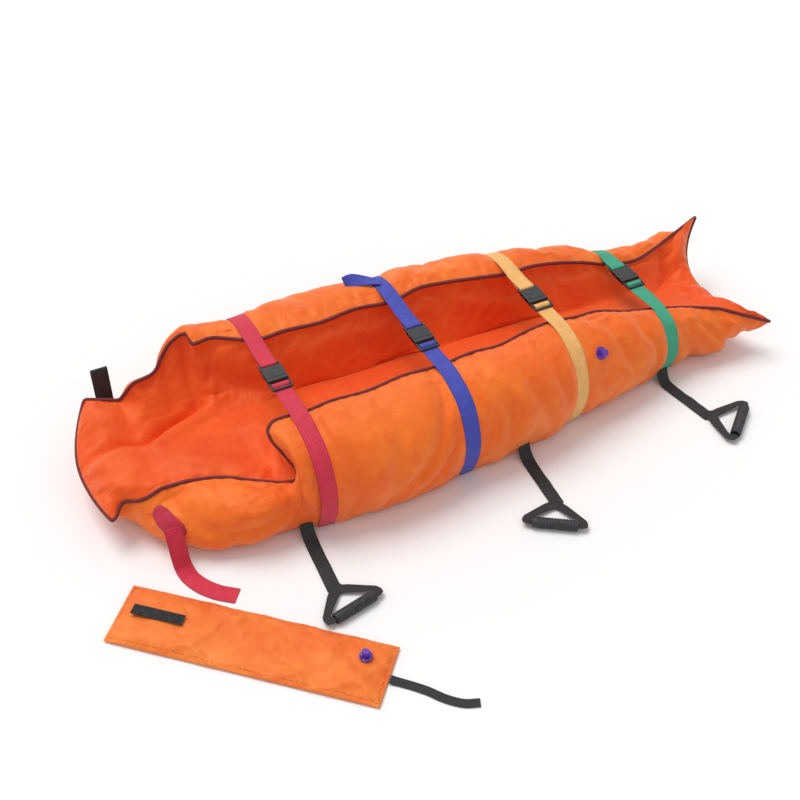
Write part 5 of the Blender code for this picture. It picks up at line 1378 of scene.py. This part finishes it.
def splint_grids(long_steps, wide_steps):
    """Bottom and top of the splint in its own frame."""
    u = np.linspace(-1, 1, long_steps + 1)
    v = np.linspace(-1, 1, wide_steps + 1)
    uu, vv = np.meshgrid(u, v, indexing="ij")
    x = SPLINT_LENGTH / 2 * np.sign(uu) * np.abs(uu) ** 0.9
    y = SPLINT_SIDEWAYS + SPLINT_WIDTH / 2 * np.sign(vv) * np.abs(vv) ** 0.88
    swell = (1 - np.abs(uu) ** 10) * (1 - np.abs(vv) ** 5)
    uneven = 0.0014 * np.sin(x * 21 + 1.3) * np.cos(y * 34 + x * 8) + 0.0012 * np.sin(x * 47 - y * 30 + 0.4)
    top = np.stack([x, y, SPLINT_EDGE + (SPLINT_CROWN - 0.004 + uneven) * swell], axis=2)
    bottom = np.stack([x, y, SPLINT_EDGE * (1 - swell ** 0.35)], axis=2)
    return bottom, top


class STRETCHER_OT_splint(bpy.types.Operator):
    """Make the splint: a flat bead-filled cushion with a sewn border, hook patch and strap"""
    bl_idname = "stretcher.splint"
    bl_label = "Splint"

    def execute(self, context):
        bottom, top = splint_grids(*SPLINT_STEPS)
        obj, index_out, _ = closed_shell("splint_cushion", bottom, top)
        held = np.zeros(len(obj.data.vertices))
        points = point_values(obj)
        border = np.concatenate([index_out[0], index_out[-1], index_out[:, 0], index_out[:, -1]])
        held[border] = 1.0
        held[points[:, 2] < 0.001] = 1.0
        for spot, radius in SPLINT_HELD:
            gap = np.linalg.norm(points[:, :2] - np.array(spot), axis=1)
            held = np.maximum(held, np.clip(1.5 - gap / radius, 0, 1))
        settle_cloth(obj, held, **SPLINT_CLOTH)
        points = point_values(obj)
        gap = np.minimum(SPLINT_LENGTH / 2 - np.abs(points[:, 0]),
                         SPLINT_WIDTH / 2 - np.abs(points[:, 1] - SPLINT_SIDEWAYS))
        groove = np.exp(-((gap - SEWN_INSET) / GROOVE_WIDTH) ** 2)
        points[:, 2] -= np.where(points[:, 2] > SPLINT_EDGE, groove * GROOVE_DEPTH, 0)
        points[:, 2] = np.maximum(points[:, 2], FLOOR_CLEAR)
        write_coordinates(obj, points)
        obj.data.transform(splint_frame())
        subdivide(obj)
        finish_piece(obj, "coated nylon splint", "splint", ["splint_cover", "splint_fill"])
        a, b = SPLINT_LENGTH / 2 - SEWN_INSET, SPLINT_WIDTH / 2 - SEWN_INSET
        corners = [(-a, -b), (a, -b), (a, b), (-a, b), (-a, -b)]
        route = []
        for (x0, y0), (x1, y1) in zip(corners, corners[1:]):
            for t in np.linspace(0, 1, 60):
                place = Vector((x0 + (x1 - x0) * t, SPLINT_SIDEWAYS + y0 + (y1 - y0) * t, 0.02))
                route.append(splint_frame() @ place)
        sew("splint_border_stitches", route, surface_tree(obj), "splint")
        dress_node("splint_hook_patch", "hook tape")
        root = splint_frame() @ Vector((SPLINT_LENGTH / 2 + GAP, 0, SPLINT_EDGE - WEB_THICK / 2))
        first = splint_frame() @ Vector((SPLINT_LENGTH / 2 + SPLINT_STRAP_WIDTH / 2, 0, SPLINT_EDGE / 2))
        line = smooth_line([tuple(root), tuple(first)] + [tuple(p) for p in SPLINT_STRAP_ROUTE], 90)
        line[:, 2] += WEB_THICK / 2
        way = np.gradient(line, axis=0)
        across = np.stack([way[:, 1], -way[:, 0], np.zeros(len(way))], axis=1)
        strap = webbing("splint_black_strap", line, across, SPLINT_STRAP_WIDTH)
        finish_piece(strap, "black webbing", "splint_strap", ["splint_strap"])
        return {"FINISHED"}


class STRETCHER_OT_loose_webbing(bpy.types.Operator):
    """Make the red strap that hangs from the head end and the black drag tab at the far corner"""
    bl_idname = "stretcher.loose_webbing"
    bl_label = "Loose webbing"

    def execute(self, context):
        root = joint_place("head_strap_lift")
        drop = ((0.012, 0.80), (0.023, 0.58), (0.030, 0.36))
        route = [(root[0], root[1] - out, HEAD_STRAP_TOP * share) for out, share in drop]
        line = smooth_line([root, *route, *HEAD_STRAP_ROUTE], 110)
        line[:, 2] += WEB_THICK / 2
        way = np.gradient(line, axis=0)
        across = np.stack([-way[:, 1], way[:, 0], np.zeros(len(way))], axis=1)
        across[np.linalg.norm(across, axis=1) < 1e-4] = (1.0, 0.0, 0.0)
        share = np.clip(np.arange(len(line)) / 45 - 0.4, 0, 1)[:, None]
        across = np.array((1.0, 0.0, 0.0)) * (1 - share) + unit(across) * share
        strap = webbing("head_red_strap", line, across, WEB_WIDTH)
        finish_piece(strap, "red webbing", "head_strap", ["head_strap"])
        low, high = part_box("drag_tab")
        y = (low.y + high.y) / 2
        bend = (high.y - low.y) / 2 - WEB_THICK / 2
        turn = [(y + bend * math.cos(a), TAB_TOP - bend + bend * math.sin(a))
                for a in np.linspace(0, math.pi, 9)]
        half_way = (TAB_LOW + TAB_TOP) / 2
        outline = [(y + bend, TAB_LOW), (y + bend + 0.001, half_way), *turn, (y - bend - 0.0005, half_way),
                   (y - bend, TAB_LOW)]
        line = smooth_line([(TAB_X, *place) for place in outline], 80)
        tab = webbing("head_drag_tab", line, (1.0, 0.0, 0.0), WEB_WIDTH)
        finish_piece(tab, "black webbing", "drag_tab", ["drag_tab"])
        return {"FINISHED"}


class STRETCHER_OT_stage(bpy.types.Operator):
    """Make the pale floor, the soft light and the camera of the photograph"""
    bl_idname = "stretcher.stage"
    bl_label = "Stage"

    def execute(self, context):
        scene = context.scene
        stage = scene.stretcher_stage
        clear_selection()
        bpy.ops.mesh.primitive_plane_add(size=FLOOR_SIZE, location=(0.0, 0.0, FLOOR_LEVEL))
        floor = context.active_object
        floor.name = "studio_floor"
        floor.data.materials.append(material_of("pale studio floor"))

        world = bpy.data.worlds.new("studio")
        scene.world = world
        world.use_nodes = True
        tree = world.node_tree
        tree.nodes.clear()
        rays = add_node(tree, "ShaderNodeLightPath")
        seen = maths(tree, "MAXIMUM", rays.outputs["Is Camera Ray"], rays.outputs["Is Glossy Ray"])
        seen = maths(tree, "MAXIMUM", seen, rays.outputs["Is Transmission Ray"])
        room = add_node(tree, "ShaderNodeBackground", {"Color": (1.0, 1.0, 1.0, 1.0), "Strength": stage.sky})
        white = add_node(tree, "ShaderNodeBackground", {"Color": (1.0, 1.0, 1.0, 1.0), "Strength": 1.0})
        both = add_node(tree, "ShaderNodeMixShader", {0: seen, 1: room.outputs["Background"],
                                                      2: white.outputs["Background"]})
        add_node(tree, "ShaderNodeOutputWorld", {"Surface": both.outputs["Shader"]})

        lamp = bpy.data.lights.new("soft_overhead_light", "SUN")
        lamp.angle = math.radians(stage.softness)
        lamp.energy = stage.key
        holder = link("soft_overhead_light", lamp)
        aim = Vector(LIGHT_FROM).to_track_quat("Z", "Y").to_matrix().to_4x4()
        holder.matrix_world = Matrix.Translation(LIGHT_FROM) @ aim

        camera = bpy.data.cameras.new("photo_camera")
        camera.sensor_width = SENSOR_MM
        camera.lens = FOCAL_PIXELS / PHOTO_PIXELS * SENSOR_MM
        eye = link("photo_camera", camera)
        turn = Matrix((CAMERA_RIGHT, CAMERA_UP, CAMERA_BACK)).transposed()
        eye.matrix_world = Matrix.Translation(CAMERA_PLACE) @ turn.to_4x4()
        scene.camera = eye
        scene.view_settings.view_transform = "Standard"
        return {"FINISHED"}


class STRETCHER_PT_panel(bpy.types.Panel):
    """Pieces of the stretcher in the 3D view's sidebar"""
    bl_idname = "STRETCHER_PT_panel"
    bl_label = "Vacuum stretcher"
    bl_space_type = "VIEW_3D"
    bl_region_type = "UI"
    bl_category = "Stretcher"

    def draw(self, context):
        for step in STEPS:
            self.layout.operator(step.bl_idname)


GROUPS = {
    "stretcher_fabric": FabricSettings,
    "stretcher_webbing": WebbingSettings,
    "stretcher_hardware": HardwareSettings,
    "stretcher_stage": StageSettings,
}
STEPS = (
    STRETCHER_OT_stage,
    STRETCHER_OT_mattress,
    STRETCHER_OT_piping,
    STRETCHER_OT_straps,
    STRETCHER_OT_free_tail,
    STRETCHER_OT_buckles,
    STRETCHER_OT_handles,
    STRETCHER_OT_valves,
    STRETCHER_OT_splint,
    STRETCHER_OT_loose_webbing,
)


def register():
    """Register the settings, the operators and the panel."""
    for group in GROUPS.values():
        bpy.utils.register_class(group)
    for name, group in GROUPS.items():
        setattr(bpy.types.Scene, name, bpy.props.PointerProperty(type=group))
    for step in STEPS:
        bpy.utils.register_class(step)
    bpy.utils.register_class(STRETCHER_PT_panel)


def unregister():
    """Take them away again."""
    bpy.utils.unregister_class(STRETCHER_PT_panel)
    for step in reversed(STEPS):
        bpy.utils.unregister_class(step)
    for name, group in GROUPS.items():
        delattr(bpy.types.Scene, name)
        bpy.utils.unregister_class(group)


def main():
    """Make every piece in order."""
    register()
    bpy.ops.stretcher.stage()
    bpy.ops.stretcher.mattress()
    bpy.ops.stretcher.piping()
    bpy.ops.stretcher.straps()
    bpy.ops.stretcher.free_tail()
    bpy.ops.stretcher.buckles()
    bpy.ops.stretcher.handles()
    bpy.ops.stretcher.valves()
    bpy.ops.stretcher.splint()
    bpy.ops.stretcher.loose_webbing()


if __name__ == "__main__":
    main()
